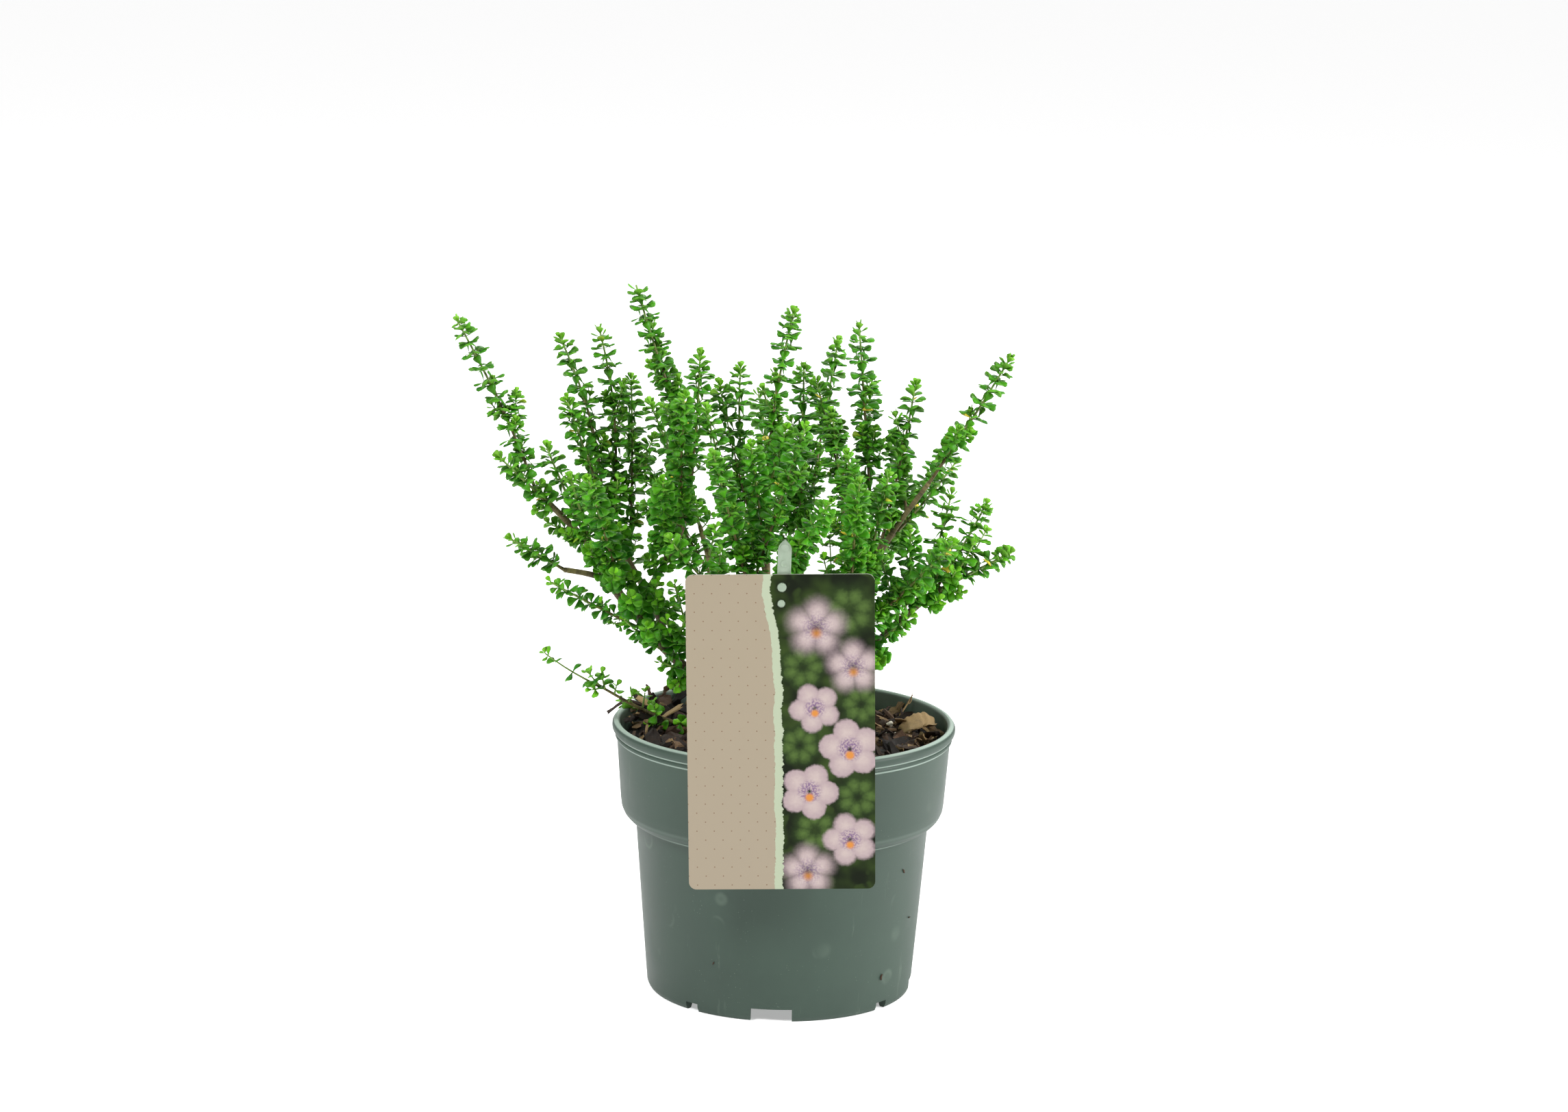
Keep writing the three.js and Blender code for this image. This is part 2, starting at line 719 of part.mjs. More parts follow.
function makeWood(shoots) {
  const pieces = Object.entries(LIMBS).map(([name, limb]) =>
    stem(limbCurve(name), [0, 1], taper(limb.radius), LIMB_SIDES, limb.route.length - 1),
  );
  for (const shoot of shoots) {
    pieces.push(stem(shoot.curve, [0, shoot.woody], taper(STUB.radius), 4, 1, shoot.number));
  }
  return largest(wasm.Manifold.union(pieces));
}

function makeShoots(shoots) {
  const taken = [];
  for (const [name, limb] of Object.entries(LIMBS)) {
    taken.push(...room(limbCurve(name), 0, 1, Math.max(...limb.radius), "wood"));
  }
  for (const shoot of shoots) {
    taken.push(...room(shoot.curve, 0, shoot.woody, STUB.radius[1], "wood"));
    taken.push(...room(shoot.curve, shoot.woody, 1, SHOOT.radius + SHOOT.core, shoot.name));
    for (const sprig of shoot.sprigs) {
      taken.push(...room(sprig, 0, 1, SPRIG.radius + SPRIG.core, shoot.name));
    }
  }
  for (const shoot of shoots) {
    for (const sprig of seededSprigs(shoot)) {
      const balls = room(sprig, 0.15, 1, SPRIG.radius + SPRIG.core, shoot.name);
      if (isClear(balls, taken, SPRIG.clear)) {
        shoot.sprigs.push(sprig);
        taken.push(...balls);
      }
    }
  }
  for (const shoot of shoots) {
    const gap = GAP / shoot.curve.getLength();
    const from = shoot.woody + gap;
    const length = shoot.curve.getLength();
    const end = 1 - SHOOT.bud / length;
    const steps = stemSteps(shoot.curve);
    const pieces = [stem(shoot.curve, [from, end], leafyRadius(SHOOT), 4, steps, shoot.number)];
    const bare = Math.max(from + 0.06, LEAF.bare);
    const leaves = leafStations(shoot.curve, shoot.name, bare, shoot.number);
    shoot.sprigs.forEach((sprig, k) => {
      const run = [0, 1 - SHOOT.bud / sprig.getLength()];
      const turn = shoot.number + k + 1;
      pieces.push(stem(sprig, run, leafyRadius(SPRIG), 4, stemSteps(sprig), turn));
      leaves.push(...leafStations(sprig, shoot.name, SPRIG.bare / sprig.getLength(), turn));
    });
    for (const leaf of leaves) {
      const balls = leafPlaces(leaf);
      if (isClear(balls, taken, LEAF.clear)) {
        taken.push(...balls);
        pieces.push(leafSolid(leaf));
      }
    }
    addPiece(shoot.name, largest(wasm.Manifold.union(pieces)), "leaf");
  }
}

// Height of the highest face under a place, among the pieces that carry the bark
function groundUnder(x, y) {
  const carriers = plant.children.filter((piece) => ["soil", "pot"].includes(piece.name));
  const plumb = new THREE.Raycaster(new THREE.Vector3(x, y, 2 * POT.height), new THREE.Vector3(0, 0, -1));
  return plumb.intersectObjects(carriers)[0]?.point.z ?? -Infinity;
}

// A bark piece: a rough flat slab whose far end is lifted, lying on what is under it
function makeChip(chip, number) {
  const [length, width, thickness] = chip.size;
  const geometry = new THREE.BoxGeometry(length, width, thickness, 4, 1, 1);
  const places = geometry.getAttribute("position");
  for (let i = 0; i < places.count; i++) {
    const along = places.getX(i) / length + 0.5;
    const key = Math.round(along * 4) + (places.getY(i) > 0 ? 10 : 0) + number * 20;
    const taper = 1 - 0.5 * Math.abs(along - 0.45) * chance(key);
    places.setY(i, places.getY(i) * taper * (0.75 + 0.35 * chance(key + 5)));
    places.setZ(i, places.getZ(i) + chip.lift * along * (2 - along));
  }
  geometry.rotateZ(radians(chip.turn));
  const [x, y] = chip.at;
  let floor = -Infinity;
  for (let i = 0; i < places.count; i++) {
    floor = Math.max(floor, groundUnder(x + places.getX(i), y + places.getY(i)) - places.getZ(i));
  }
  geometry.translate(x, y, floor + GAP);
  addPiece(chip.name, solid(geometry), chip.name.startsWith("tan") ? "pale_bark" : "bark");
}

// Moves the plant sideways, so that the middle of its box is over the origin
function centre() {
  const middle = new THREE.Box3().setFromObject(plant).getCenter(new THREE.Vector3());
  for (const piece of plant.children) {
    piece.geometry.translate(-middle.x, -middle.y, 0);
  }
}

makePot();
const shoots = planShoots();
const wood = makeWood(shoots);
addPiece("soil", largest(makeSoil().subtract(trunkHole()).subtract(stakeStrip(STAKE.hole))), "soil");
addPiece("trunk_and_limbs", wood, "wood");
CHIPS.forEach(makeChip);
makeLabel();
makeStake();
makeShoots(shoots);
centre();

export default plant;
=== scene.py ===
import json
import logging
import math
from collections.abc import Sequence
from dataclasses import dataclass, field
from enum import Enum

import bpy
import numpy as np
from mathutils import Matrix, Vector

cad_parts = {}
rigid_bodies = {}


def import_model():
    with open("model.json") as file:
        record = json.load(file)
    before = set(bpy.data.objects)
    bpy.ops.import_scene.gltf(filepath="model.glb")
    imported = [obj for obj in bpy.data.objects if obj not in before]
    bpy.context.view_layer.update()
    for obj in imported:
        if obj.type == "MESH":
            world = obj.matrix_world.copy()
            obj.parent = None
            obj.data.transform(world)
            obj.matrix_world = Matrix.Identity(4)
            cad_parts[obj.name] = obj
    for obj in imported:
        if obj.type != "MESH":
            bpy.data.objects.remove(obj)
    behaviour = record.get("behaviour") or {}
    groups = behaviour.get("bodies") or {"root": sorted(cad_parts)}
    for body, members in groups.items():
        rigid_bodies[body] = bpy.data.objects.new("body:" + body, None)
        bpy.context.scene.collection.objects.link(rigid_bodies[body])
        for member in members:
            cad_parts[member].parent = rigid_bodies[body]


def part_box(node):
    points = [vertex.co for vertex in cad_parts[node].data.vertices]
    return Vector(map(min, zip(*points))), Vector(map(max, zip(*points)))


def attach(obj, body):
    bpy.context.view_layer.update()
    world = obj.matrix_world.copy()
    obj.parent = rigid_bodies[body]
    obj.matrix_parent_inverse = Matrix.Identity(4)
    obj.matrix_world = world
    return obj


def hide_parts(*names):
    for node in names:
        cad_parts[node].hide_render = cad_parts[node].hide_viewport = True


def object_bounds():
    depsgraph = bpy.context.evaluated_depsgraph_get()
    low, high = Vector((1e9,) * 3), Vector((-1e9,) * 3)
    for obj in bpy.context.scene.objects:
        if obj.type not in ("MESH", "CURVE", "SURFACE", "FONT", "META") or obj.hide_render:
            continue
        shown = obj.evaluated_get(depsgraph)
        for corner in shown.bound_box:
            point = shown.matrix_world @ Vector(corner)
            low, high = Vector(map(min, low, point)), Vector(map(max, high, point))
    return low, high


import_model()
CAD_BOX = [list(corner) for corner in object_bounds()]

log = logging.getLogger("potted_mint_bush")
Array = np.ndarray
Colour = tuple[float, float, float, float]
MM = 0.001
UP = np.array([0.0, 0.0, 1.0])
# Turn from one of many to the next that spreads them evenly, in radians
GOLDEN_TURN = 2.39996
# The pot's axis in the shared frame, round which everything here is built
POT_LOW, POT_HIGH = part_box("pot")
POT_AXIS = np.array([POT_LOW.x + POT_HIGH.x, POT_LOW.y + POT_HIGH.y, 0.0]) / 2


class Slot(Enum):
    """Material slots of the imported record."""

    POT = "pot_plastic"
    SOIL = "soil"
    BARK = "bark"
    PALE_BARK = "pale_bark"
    WOOD = "stem_wood"
    LEAF = "leaf"
    STAKE = "stake_plastic"
    CARD = "label_card"


# Sizes shared with the solids, in millimetres
POT_HEIGHT = 147.3
SOIL_LEVEL = 129.0
SOIL_DISH = 8.0
SOIL_RING = 72.0
TRUNK_HEAD = (-1, 0, 134)
LIMBS = {
    "trunk": ((5.4, 4.2), [(1, 2, 88), (0, 1, 112), TRUNK_HEAD]),
    "left_main": (
        (3.6, 1.5),
        [
            TRUNK_HEAD,
            (-22, -4, 150),
            (-54, -12, 178),
            (-79, -20, 207),
            (-97, -24, 231),
            (-106, -26, 248),
            (-133, -28, 276),
        ],
    ),
    "left_low": ((1.7, 1.3), [(-95, -24, 228), (-106, -30, 232), (-117, -36, 235)]),
    "left_fork": ((2.2, 1.3), [(-60, -13, 184), (-71, 3, 208), (-88, 11, 236), (-100, 15, 266)]),
    "left_mid": (
        (2.3, 1.3),
        [(-66, -15, 192), (-75, -6, 211), (-65, 0, 233), (-56, 5, 252), (-51, 8, 290)],
    ),
    "left_back": ((2.8, 1.3), [(-13, -3, 143), (-22, 20, 168), (-36, 42, 203), (-48, 60, 240)]),
    "centre_back": ((2.8, 1.3), [(0, 3, 158), (4, 23, 176), (8, 46, 207), (6, 60, 240)]),
    "centre_up": ((3.0, 1.4), [TRUNK_HEAD, (0, 4, 165), (-8, 4, 205), (-12, 4, 245)]),
    "centre_front": ((2.6, 1.3), [(-8, -2, 139), (-10, -20, 163), (-15, -42, 198), (-20, -56, 232)]),
    "right_front": ((2.6, 1.3), [(9, -3, 146), (15, -18, 165), (30, -40, 196), (40, -52, 228)]),
    "right_low": (
        (3.0, 1.4),
        [TRUNK_HEAD, (20, -6, 158), (48, -11, 192), (70, -15, 215), (88, -18, 228)],
    ),
    "right_up": (
        (2.8, 1.3),
        [(15, -5, 153), (22, 3, 180), (36, 7, 212), (55, 10, 247), (75, 12, 276)],
    ),
    "right_back": ((2.8, 1.3), [(-1, 2, 147), (14, 18, 168), (35, 37, 205), (46, 47, 240)]),
    "creeping": (
        (1.5, 0.7),
        [(0, 0, 133), (-18, 1, 136), (-40, 2, 140), (-61, 0, 145), (-79, -2, 153), (-98, -8, 165)],
    ),
}
# Leafy shoots: the limb, how far along it they start, their tip, and their own side shoots
SHOOTS = [
    ("left_main", 1, (-175, -25, 365), []),
    ("left_main", 0.9, (-151, -44, 296), []),
    ("left_main", 0.82, (-128, -18, 297), []),
    ("left_main", 0.68, (-114, -44, 286), []),
    ("left_main", 0.56, (-103, -76, 291), []),
    ("left_main", 0.44, (-123, -58, 233), []),
    ("left_main", 0.3, (-66, -38, 187), []),
    ("left_main", 0.36, (-85, -42, 210), []),
    ("left_main", 0.26, (-59, -34, 228), []),
    ("left_low", 1, (-145, -46, 253), []),
    ("left_fork", 1, (-123, 15, 350), []),
    ("left_fork", 0.74, (-118, -6, 320), []),
    ("left_fork", 0.86, (-103, 36, 351), []),
    ("left_fork", 0.6, (-86, 42, 324), []),
    ("left_fork", 0.45, (-114, 52, 266), []),
    ("left_mid", 1, (-83, 10, 380.5), [(0.3, (-70, 26, 341))]),
    ("left_mid", 0.9, (-48, -12, 347), []),
    ("left_mid", 0.72, (-55, -60, 333), []),
    ("left_mid", 0.5, (-65, -64, 289), []),
    ("left_back", 1, (-77, 86, 303), []),
    ("left_back", 0.75, (-98, 94, 298), [(0.35, (-64, 120, 304))]),
    ("centre_up", 1, (1, 0, 369), [(0.2, (-2, -24, 310))]),
    ("centre_up", 0.88, (-20, -46, 305), []),
    ("centre_up", 0.8, (-27, 32, 333), [(0.3, (-38, 8, 328))]),
    ("centre_front", 1, (-39, -84, 308), []),
    ("centre_front", 0.9, (-44, -38, 323), []),
    ("centre_front", 0.96, (8, -78, 321), []),
    ("centre_front", 0.8, (21, -111.8, 289), []),
    ("centre_front", 0.7, (-61, -82, 262), []),
    ("centre_back", 1, (-15, 64, 316), []),
    ("centre_back", 0.9, (7, 46, 332), []),
    ("centre_back", 0.72, (-18, 130, 302), []),
    ("centre_back", 0.82, (26, 118, 334), []),
    ("right_back", 1, (36, 25, 358), [(0.25, (44, 60, 324))]),
    ("right_back", 0.86, (14, 40, 325), []),
    ("right_back", 0.66, (84, 108, 269), []),
    ("right_up", 1, (116, 15, 343), [(0.3, (89, -8, 309))]),
    ("right_up", 0.66, (67, 30, 326), []),
    ("right_up", 0.86, (57, 64, 292), []),
    ("right_up", 0.72, (90, 36, 283), []),
    ("right_low", 1, (119.3, -20, 246), []),
    ("right_low", 0.84, (105, -4, 268), []),
    ("right_low", 0.66, (64, -48, 262), []),
    ("right_low", 0.5, (66, -40, 215), []),
    ("right_front", 1, (30, -68, 306), []),
    ("right_front", 0.9, (52, -50, 292), []),
    ("right_front", 0.78, (36, -100, 297), []),
    ("right_front", 0.84, (22, -16, 318), []),
    ("right_front", 0.66, (86, -78, 262), []),
    ("creeping", 1, (-128, -20, 186), []),
    ("right_low", 0.78, (87, 4, 272), []),
]
# How far the middle of some shoots leans to the right, by the shoot's number
BOWS = {0: 8, 10: 12, 12: 12, 21: -7, 23: -12}
# Short leafy twigs straight on the limbs: the limb, how far along it they start, and their tip
TWIGS = [
    ("left_main", 0.62, (-90, -60, 239)),
    ("left_main", 0.53, (-81, -62, 227)),
    ("left_main", 0.44, (-72, -60, 211)),
    ("left_main", 0.39, (-53, -40, 210)),
    ("left_main", 0.71, (-103, -50, 250)),
    ("left_main", 0.33, (-58, -30, 172)),
    ("left_mid", 0.28, (-81, -40, 233)),
    ("left_mid", 0.22, (-68, -36, 221)),
    ("left_fork", 0.66, (-88, -30, 257)),
    ("centre_front", 0.60, (-42, -60, 206)),
    ("right_low", 0.64, (49, -28, 246)),
    ("right_low", 0.76, (81, -34, 222)),
    ("right_low", 0.93, (92, -30, 226)),
    ("right_low", 0.52, (49, -44, 191)),
    ("right_low", 0.81, (72, -44, 236)),
    ("left_main", 0.95, (-132, -36, 267)),
    ("left_main", 0.88, (-127, -14, 255)),
    ("left_main", 0.83, (-117, -34, 254)),
    ("left_main", 0.34, (-63, -40, 210)),
    ("left_mid", 0.44, (-74, -14, 237)),
    ("left_mid", 0.24, (-68, -20, 226)),
    ("left_mid", 0.12, (-58, -26, 216)),
    ("left_mid", 0.74, (-77, -14, 267)),
    ("left_fork", 0.82, (-91, 0, 277)),
    ("left_back", 0.86, (-39, 44, 243)),
    ("left_back", 0.72, (-36, 30, 235)),
    ("left_back", 1.0, (-50, 50, 255)),
    ("right_front", 0.72, (19, -60, 249)),
    ("right_front", 0.6, (22, -30, 256)),
    ("right_low", 0.84, (83, -40, 257)),
    ("right_low", 0.9, (89, -34, 238)),
    ("right_low", 0.96, (99, -26, 253)),
    ("right_low", 1.0, (105, -14, 256)),
    ("creeping", 0.98, (-98, -12, 174)),
    ("creeping", 0.99, (-105, -18, 176)),
    ("creeping", 1.0, (-103, -14, 165)),
    ("creeping", 0.93, (-90, -8, 166)),
    ("creeping", 0.85, (-81, -8, 162)),
    ("creeping", 0.77, (-75, 4, 160)),
    ("creeping", 0.68, (-69, -12, 154)),
    ("creeping", 0.55, (-55, -10, 147)),
]


# Numbers and directions


def chance(n: Array | float) -> Array:
    """Repeatable numbers from 0 to 1: the fraction of 43758.5453 sin(12.9898 n + 4.1414)."""
    wave = np.sin(np.asarray(n, float) * 12.9898 + 4.1414) * 43758.5453
    return wave - np.floor(wave)


def unit(vectors: Array) -> Array:
    """The vectors at length 1: each over its own length."""
    return vectors / np.linalg.norm(vectors, axis=-1, keepdims=True)


def across(run: Array) -> tuple[Array, Array]:
    """Two directions square to a run and to each other.

    The first is the reference × run, where the reference is +Y, or +X for a run close to Y, and the
    second is run × first.

    Args:
        run: unit directions, in the last axis.

    Returns:
        The two directions, shaped as run.
    """
    steep = np.abs(run[..., 1:2]) < 0.9
    reference = np.where(steep, np.array([0.0, 1.0, 0.0]), np.array([1.0, 0.0, 0.0]))
    first = unit(np.cross(reference, run))
    return first, np.cross(run, first)


def ripple(places: Array, size: float, seed: int, waves: int = 7) -> Array:
    """Smooth bumps: the mean of sine waves that run in seeded directions.

    Each wave is sin(2π (d · p) k / size + phase), with a unit direction d and a pitch factor k
    between 0.6 and 1.6.

    Args:
        places: points, in the last axis, in metres.
        size: the middle wavelength, in metres.
        seed: picks the directions.
        waves: how many waves are added.

    Returns:
        One number from about -1 to 1 for each point.
    """
    key = seed * 50 + np.arange(waves)
    heading = unit(np.stack([chance(key + 100 * i) - 0.5 for i in (1, 2, 3)], -1))
    pitch = (0.6 + chance(key)) * 2 * math.pi / size
    phase = 2 * math.pi * chance(key + 400)
    return np.sin((places @ heading.T) * pitch + phase).mean(-1) * 1.6


@dataclass
class Line:
    """A smooth line through space, in metres, read by its share from 0 to 1."""

    points: Array

    def at(self, share: Array) -> Array:
        """Places at the shares: (1-s)² start + 2 s (1-s) middle + s² end."""
        s = np.asarray(share, float)[..., None]
        start, middle, end = self.points
        return (1 - s) ** 2 * start + 2 * s * (1 - s) * middle + s**2 * end

    def run(self, share: Array) -> Array:
        """Unit directions at the shares: the step between two places a hair before and after."""
        hair = 1e-4
        share = np.asarray(share, float)
        return unit(self.at(np.minimum(share + hair, 1.0)) - self.at(np.maximum(share - hair, 0.0)))

    def length(self) -> float:
        """The sum of 200 straight steps along the line."""
        steps = np.diff(self.at(np.linspace(0, 1, 201)), axis=0)
        return float(np.linalg.norm(steps, axis=1).sum())


class Route(Line):
    """A smooth line through any number of points."""

    def at(self, share: Array) -> Array:
        """Places at the shares, on a cubic through the points.

        Between two points a and b the cubic's slopes are half the steps from the point before a to
        b, and from a to the point after b. The points before the first and after the last are
        mirrored.

        Args:
            share: numbers from 0 to 1, spread evenly over the gaps between points.

        Returns:
            One place for each share.
        """
        p = self.points
        padded = np.vstack([2 * p[0] - p[1], p, 2 * p[-1] - p[-2]])
        spot = np.asarray(share, float) * (len(p) - 1)
        gap = np.clip(np.floor(spot).astype(int), 0, len(p) - 2)
        w = (spot - gap)[..., None]
        before, a, b, after = (padded[gap + i] for i in range(4))
        slope_a = 0.5 * (b - before)
        slope_b = 0.5 * (after - a)
        square = -3 * a + 3 * b - 2 * slope_a - slope_b
        return a + slope_a * w + square * w**2 + (2 * a - 2 * b + slope_a + slope_b) * w**3


def limb_line(name: str) -> Route:
    """The route of a limb, in metres."""
    return Route(np.array(LIMBS[name][1], float) * MM)


def shoot_line(start: Array, tip: Array, number: int, bow: float = 0.0) -> Line:
    """The line of a leafy stem, which bows by chance and sags by 3% of its chord.

    Args:
        start: its place on the limb, in metres.
        tip: its end, in metres.
        number: seeds the bow.
        bow: how far its middle leans to the right beyond that, in mm.

    Returns:
        The line from start to tip.
    """
    middle = (start + tip) / 2
    middle[0] += (bow + 5 * (chance(number * 3) - 0.5)) * MM
    middle[1] += 5 * MM * (chance(number * 3 + 1) - 0.5)
    middle[2] -= 0.03 * np.linalg.norm(tip - start)
    return Line(np.stack([start, middle, tip]))


# Meshes


def ring_faces(rows: int, around: int) -> Array:
    """Quads of a tube of rings: corners (r, c), (r, c+1), (r+1, c+1), (r+1, c), with c wrapped."""
    r, c = np.meshgrid(np.arange(rows - 1), np.arange(around), indexing="ij")
    after = (c + 1) % around
    corners = [r * around + c, r * around + after, (r + 1) * around + after, (r + 1) * around + c]
    return np.stack(corners, -1).reshape(-1, 4)


def end_faces(rows: int, around: int) -> Array:
    """The two polygons that close a tube of rings: the first ring reversed, and the last."""
    ring = np.arange(around)
    return np.stack([ring[::-1], ring + (rows - 1) * around])


def repeated(faces: Array, count: int, stride: int) -> Array:
    """The faces of count copies, whose corner numbers step by stride from one to the next."""
    steps = np.arange(count)[:, None, None] * stride
    return (faces[None] + steps).reshape(-1, faces.shape[1])


def many_tubes(count: int, rows: int, around: int) -> list[Array]:
    """The quads and the end polygons of count tubes of rings, whose points follow one another."""
    return [repeated(part(rows, around), count, rows * around) for part in (ring_faces, end_faces)]


def outward(points: Array, faces: Sequence[Array]) -> list[Array]:
    """The faces of a closed surface, turned over if they look inwards.

    The sign is that of the volume: the sum of a · (b × c) over fans of each face's corners.

    Args:
        points: the points, in the last axis.
        faces: arrays of corner numbers.

    Returns:
        The faces, as they were or with their corners reversed.
    """
    flat = points.reshape(-1, 3)
    volume = 0.0
    for part in faces:
        corners = flat[part]
        for k in range(1, part.shape[1] - 1):
            volume += (corners[:, 0] * np.cross(corners[:, k], corners[:, k + 1])).sum()
    return [part[:, ::-1] for part in faces] if volume < 0 else list(faces)


@dataclass
class Skin:
    """Points and faces of a piece while it is put together."""

    points: list[Array] = field(default_factory=list)
    faces: list[Array] = field(default_factory=list)
    finishes: list[Array] = field(default_factory=list)
    values: list[Array] = field(default_factory=list)
    count: int = 0

    def add(
        self,
        points: Array,
        faces: Sequence[Array],
        finish: Sequence[int | Array],
        values: Array | None = None,
    ) -> None:
        """Adds a surface.

        Args:
            points: its points, in the last axis, in metres.
            faces: arrays of corner numbers, one array for each number of corners.
            finish: the material number of each array of faces, or of each face in it.
            values: four numbers for each point that its materials read, or none.
        """
        flat = points.reshape(-1, 3)
        if values is None:
            values = np.zeros((len(flat), 4))
        self.points.append(flat)
        self.values.append(np.broadcast_to(values.reshape(-1, 4), (len(flat), 4)))
        for corners, number in zip(faces, finish):
            self.faces.append(corners + self.count)
            self.finishes.append(np.broadcast_to(np.asarray(number), (len(corners),)))
        self.count += len(flat)

    def add_closed(self, points: Array) -> None:
        """Adds a closed tube of rings, as (rows, around, 3) points in metres, with its faces outwards."""
        rows, around = points.shape[:2]
        self.add(points, outward(points, [ring_faces(rows, around), end_faces(rows, around)]), [0, 0])

    def mesh(self, name: str, sharp: float = 180.0) -> bpy.types.Mesh:
        """Makes the mesh.

        Args:
            name: the mesh's name.
            sharp: edges that turn by more than this many degrees stay sharp.

        Returns:
            A smooth shaded mesh with the point values in the attribute "tint".
        """
        mesh = bpy.data.meshes.new(name)
        points = np.concatenate(self.points).astype(np.float32)
        mesh.vertices.add(len(points))
        mesh.vertices.foreach_set("co", points.ravel())
        corners = np.concatenate([part.ravel() for part in self.faces]).astype(np.int32)
        sizes = np.concatenate([np.full(len(part), part.shape[1]) for part in self.faces])
        mesh.loops.add(len(corners))
        mesh.loops.foreach_set("vertex_index", corners)
        mesh.polygons.add(len(sizes))
        mesh.polygons.foreach_set("loop_start", (np.cumsum(sizes) - sizes).astype(np.int32))
        mesh.polygons.foreach_set("material_index", np.concatenate(self.finishes).astype(np.int32))
        mesh.update(calc_edges=True)
        tint = mesh.attributes.new("tint", "FLOAT_COLOR", "POINT")
        tint.data.foreach_set("color", np.concatenate(self.values).astype(np.float32).ravel())
        finish_shading(mesh, sharp)
        return mesh


def finish_shading(mesh: bpy.types.Mesh, sharp: float) -> None:
    """Shades a mesh smooth, with sharp edges where faces meet at more than sharp degrees."""
    mesh.shade_smooth()
    if sharp < 180:
        mesh.set_sharp_from_angle(angle=math.radians(sharp))


def carved(skin: Skin, cutters: Sequence[Skin], name: str, sharp: float) -> bpy.types.Mesh:
    """A mesh with others cut out of it.

    Args:
        skin: the closed surface that is kept.
        cutters: closed surfaces, each taken out of it.
        name: the new mesh's name.
        sharp: edges that turn by more than this many degrees stay sharp.

    Returns:
        The mesh that is left.
    """
    scene = bpy.context.scene.collection.objects
    body = bpy.data.objects.new("carved", skin.mesh("carved"))
    scene.link(body)
    tools = [bpy.data.objects.new("cutter", cutter.mesh("cutter")) for cutter in cutters]
    for tool in tools:
        scene.link(tool)
        cut = body.modifiers.new("cut", "BOOLEAN")
        cut.operation = "DIFFERENCE"
        cut.solver = "EXACT"
        cut.object = tool
    bpy.context.view_layer.update()
    mesh = bpy.data.meshes.new_from_object(body.evaluated_get(bpy.context.evaluated_depsgraph_get()))
    mesh.name = name
    for spare in [body, *tools]:
        bpy.data.objects.remove(spare)
    finish_shading(mesh, sharp)
    return mesh


def put(
    mesh: bpy.types.Mesh, name: str, looks: Sequence[bpy.types.Material], slot: Slot, *nodes: str
) -> None:
    """Puts a piece in the scene.

    Args:
        mesh: its mesh, in place.
        name: the piece's name.
        looks: its materials, by number.
        slot: the record's slot for the piece's finish; it is not used.
        nodes: the CAD nodes that it stands for.
    """
    mesh.transform(Matrix.Translation(POT_AXIS))
    for look in looks:
        mesh.materials.append(look)
    piece = bpy.data.objects.new(name, mesh)
    bpy.context.scene.collection.objects.link(piece)
    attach(piece, "root")
    if nodes:
        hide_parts(*nodes)
    log.info("%s: %d faces", name, len(mesh.polygons))


def rounded(profile: Array, reach: float, steps: int = 3) -> Array:
    """An open line with its corners rounded.

    Each corner c gives way to the arc (1-s)² a + 2 s (1-s) c + s² b, where a and b lie on its two
    sides, at most reach from it and at most 45% of the side.

    Args:
        profile: the line's points.
        reach: how far from the corner the arc may start.
        steps: straight steps in an arc.

    Returns:
        The points of the rounded line.
    """
    corner = profile[1:-1]
    ends = []
    for other in (profile[:-2], profile[2:]):
        side = other - corner
        size = np.linalg.norm(side, axis=1, keepdims=True)
        ends.append((corner + side / size * np.minimum(reach, 0.45 * size))[:, None])
    s = np.linspace(0, 1, steps + 1)[None, :, None]
    arcs = (1 - s) ** 2 * ends[0] + 2 * s * (1 - s) * corner[:, None] + s**2 * ends[1]
    return np.vstack([profile[:1], arcs.reshape(-1, profile.shape[1]), profile[-1:]])


def revolved(profile: Array, sides: int) -> Array:
    """Rings about +Z: (r cos t, r sin t, z) for each profile point and each angle t."""
    t = np.arange(sides) * 2 * math.pi / sides
    r, z = profile[:, :1], profile[:, 1:]
    return np.stack(np.broadcast_arrays(r * np.cos(t), r * np.sin(t), z), -1)


def tubes(centres: Array, radii: Array, sides: int) -> Array:
    """Rings of tubes along lines.

    A ring's point at angle t is centre + radius (f cos t + g sin t), where g is square to the
    tube's local run and f is square to both.

    Args:
        centres: (tubes, rows, 3) places along each tube.
        radii: (tubes, rows) or (tubes, rows, sides) radii.
        sides: points in a ring.

    Returns:
        (tubes, rows, sides, 3) points.
    """
    run = unit(np.gradient(centres, axis=1))
    first, _ = across(unit(centres[:, -1:] - centres[:, :1]))
    first = unit(first - (first * run).sum(-1, keepdims=True) * run)
    second = np.cross(run, first)
    t = np.arange(sides) * 2 * math.pi / sides
    spoke = first[:, :, None] * np.cos(t)[:, None] + second[:, :, None] * np.sin(t)[:, None]
    if radii.ndim == 2:
        radii = radii[..., None]
    return centres[:, :, None] + radii[..., None] * spoke


def add_tubes(skin: Skin, centres: Array, radii: Array, sides: int, finish: int, values: Array) -> None:
    """Adds closed tubes to a skin; values has four numbers for each row of each tube."""
    count, rows = centres.shape[:2]
    points = tubes(centres, radii, sides)
    spread = np.repeat(values[:, :, None], sides, axis=2)
    skin.add(points, many_tubes(count, rows, sides), [finish, finish], spread)


# Materials


def srgb(red: float, green: float, blue: float) -> Colour:
    """The linear colour of screen values from 0 to 255: ((v + 0.055) / 1.055) ** 2.4, or v / 12.92."""
    v = np.array([red, green, blue]) / 255
    linear = np.where(v > 0.04045, ((v + 0.055) / 1.055) ** 2.4, v / 12.92)
    return (*linear.tolist(), 1.0)


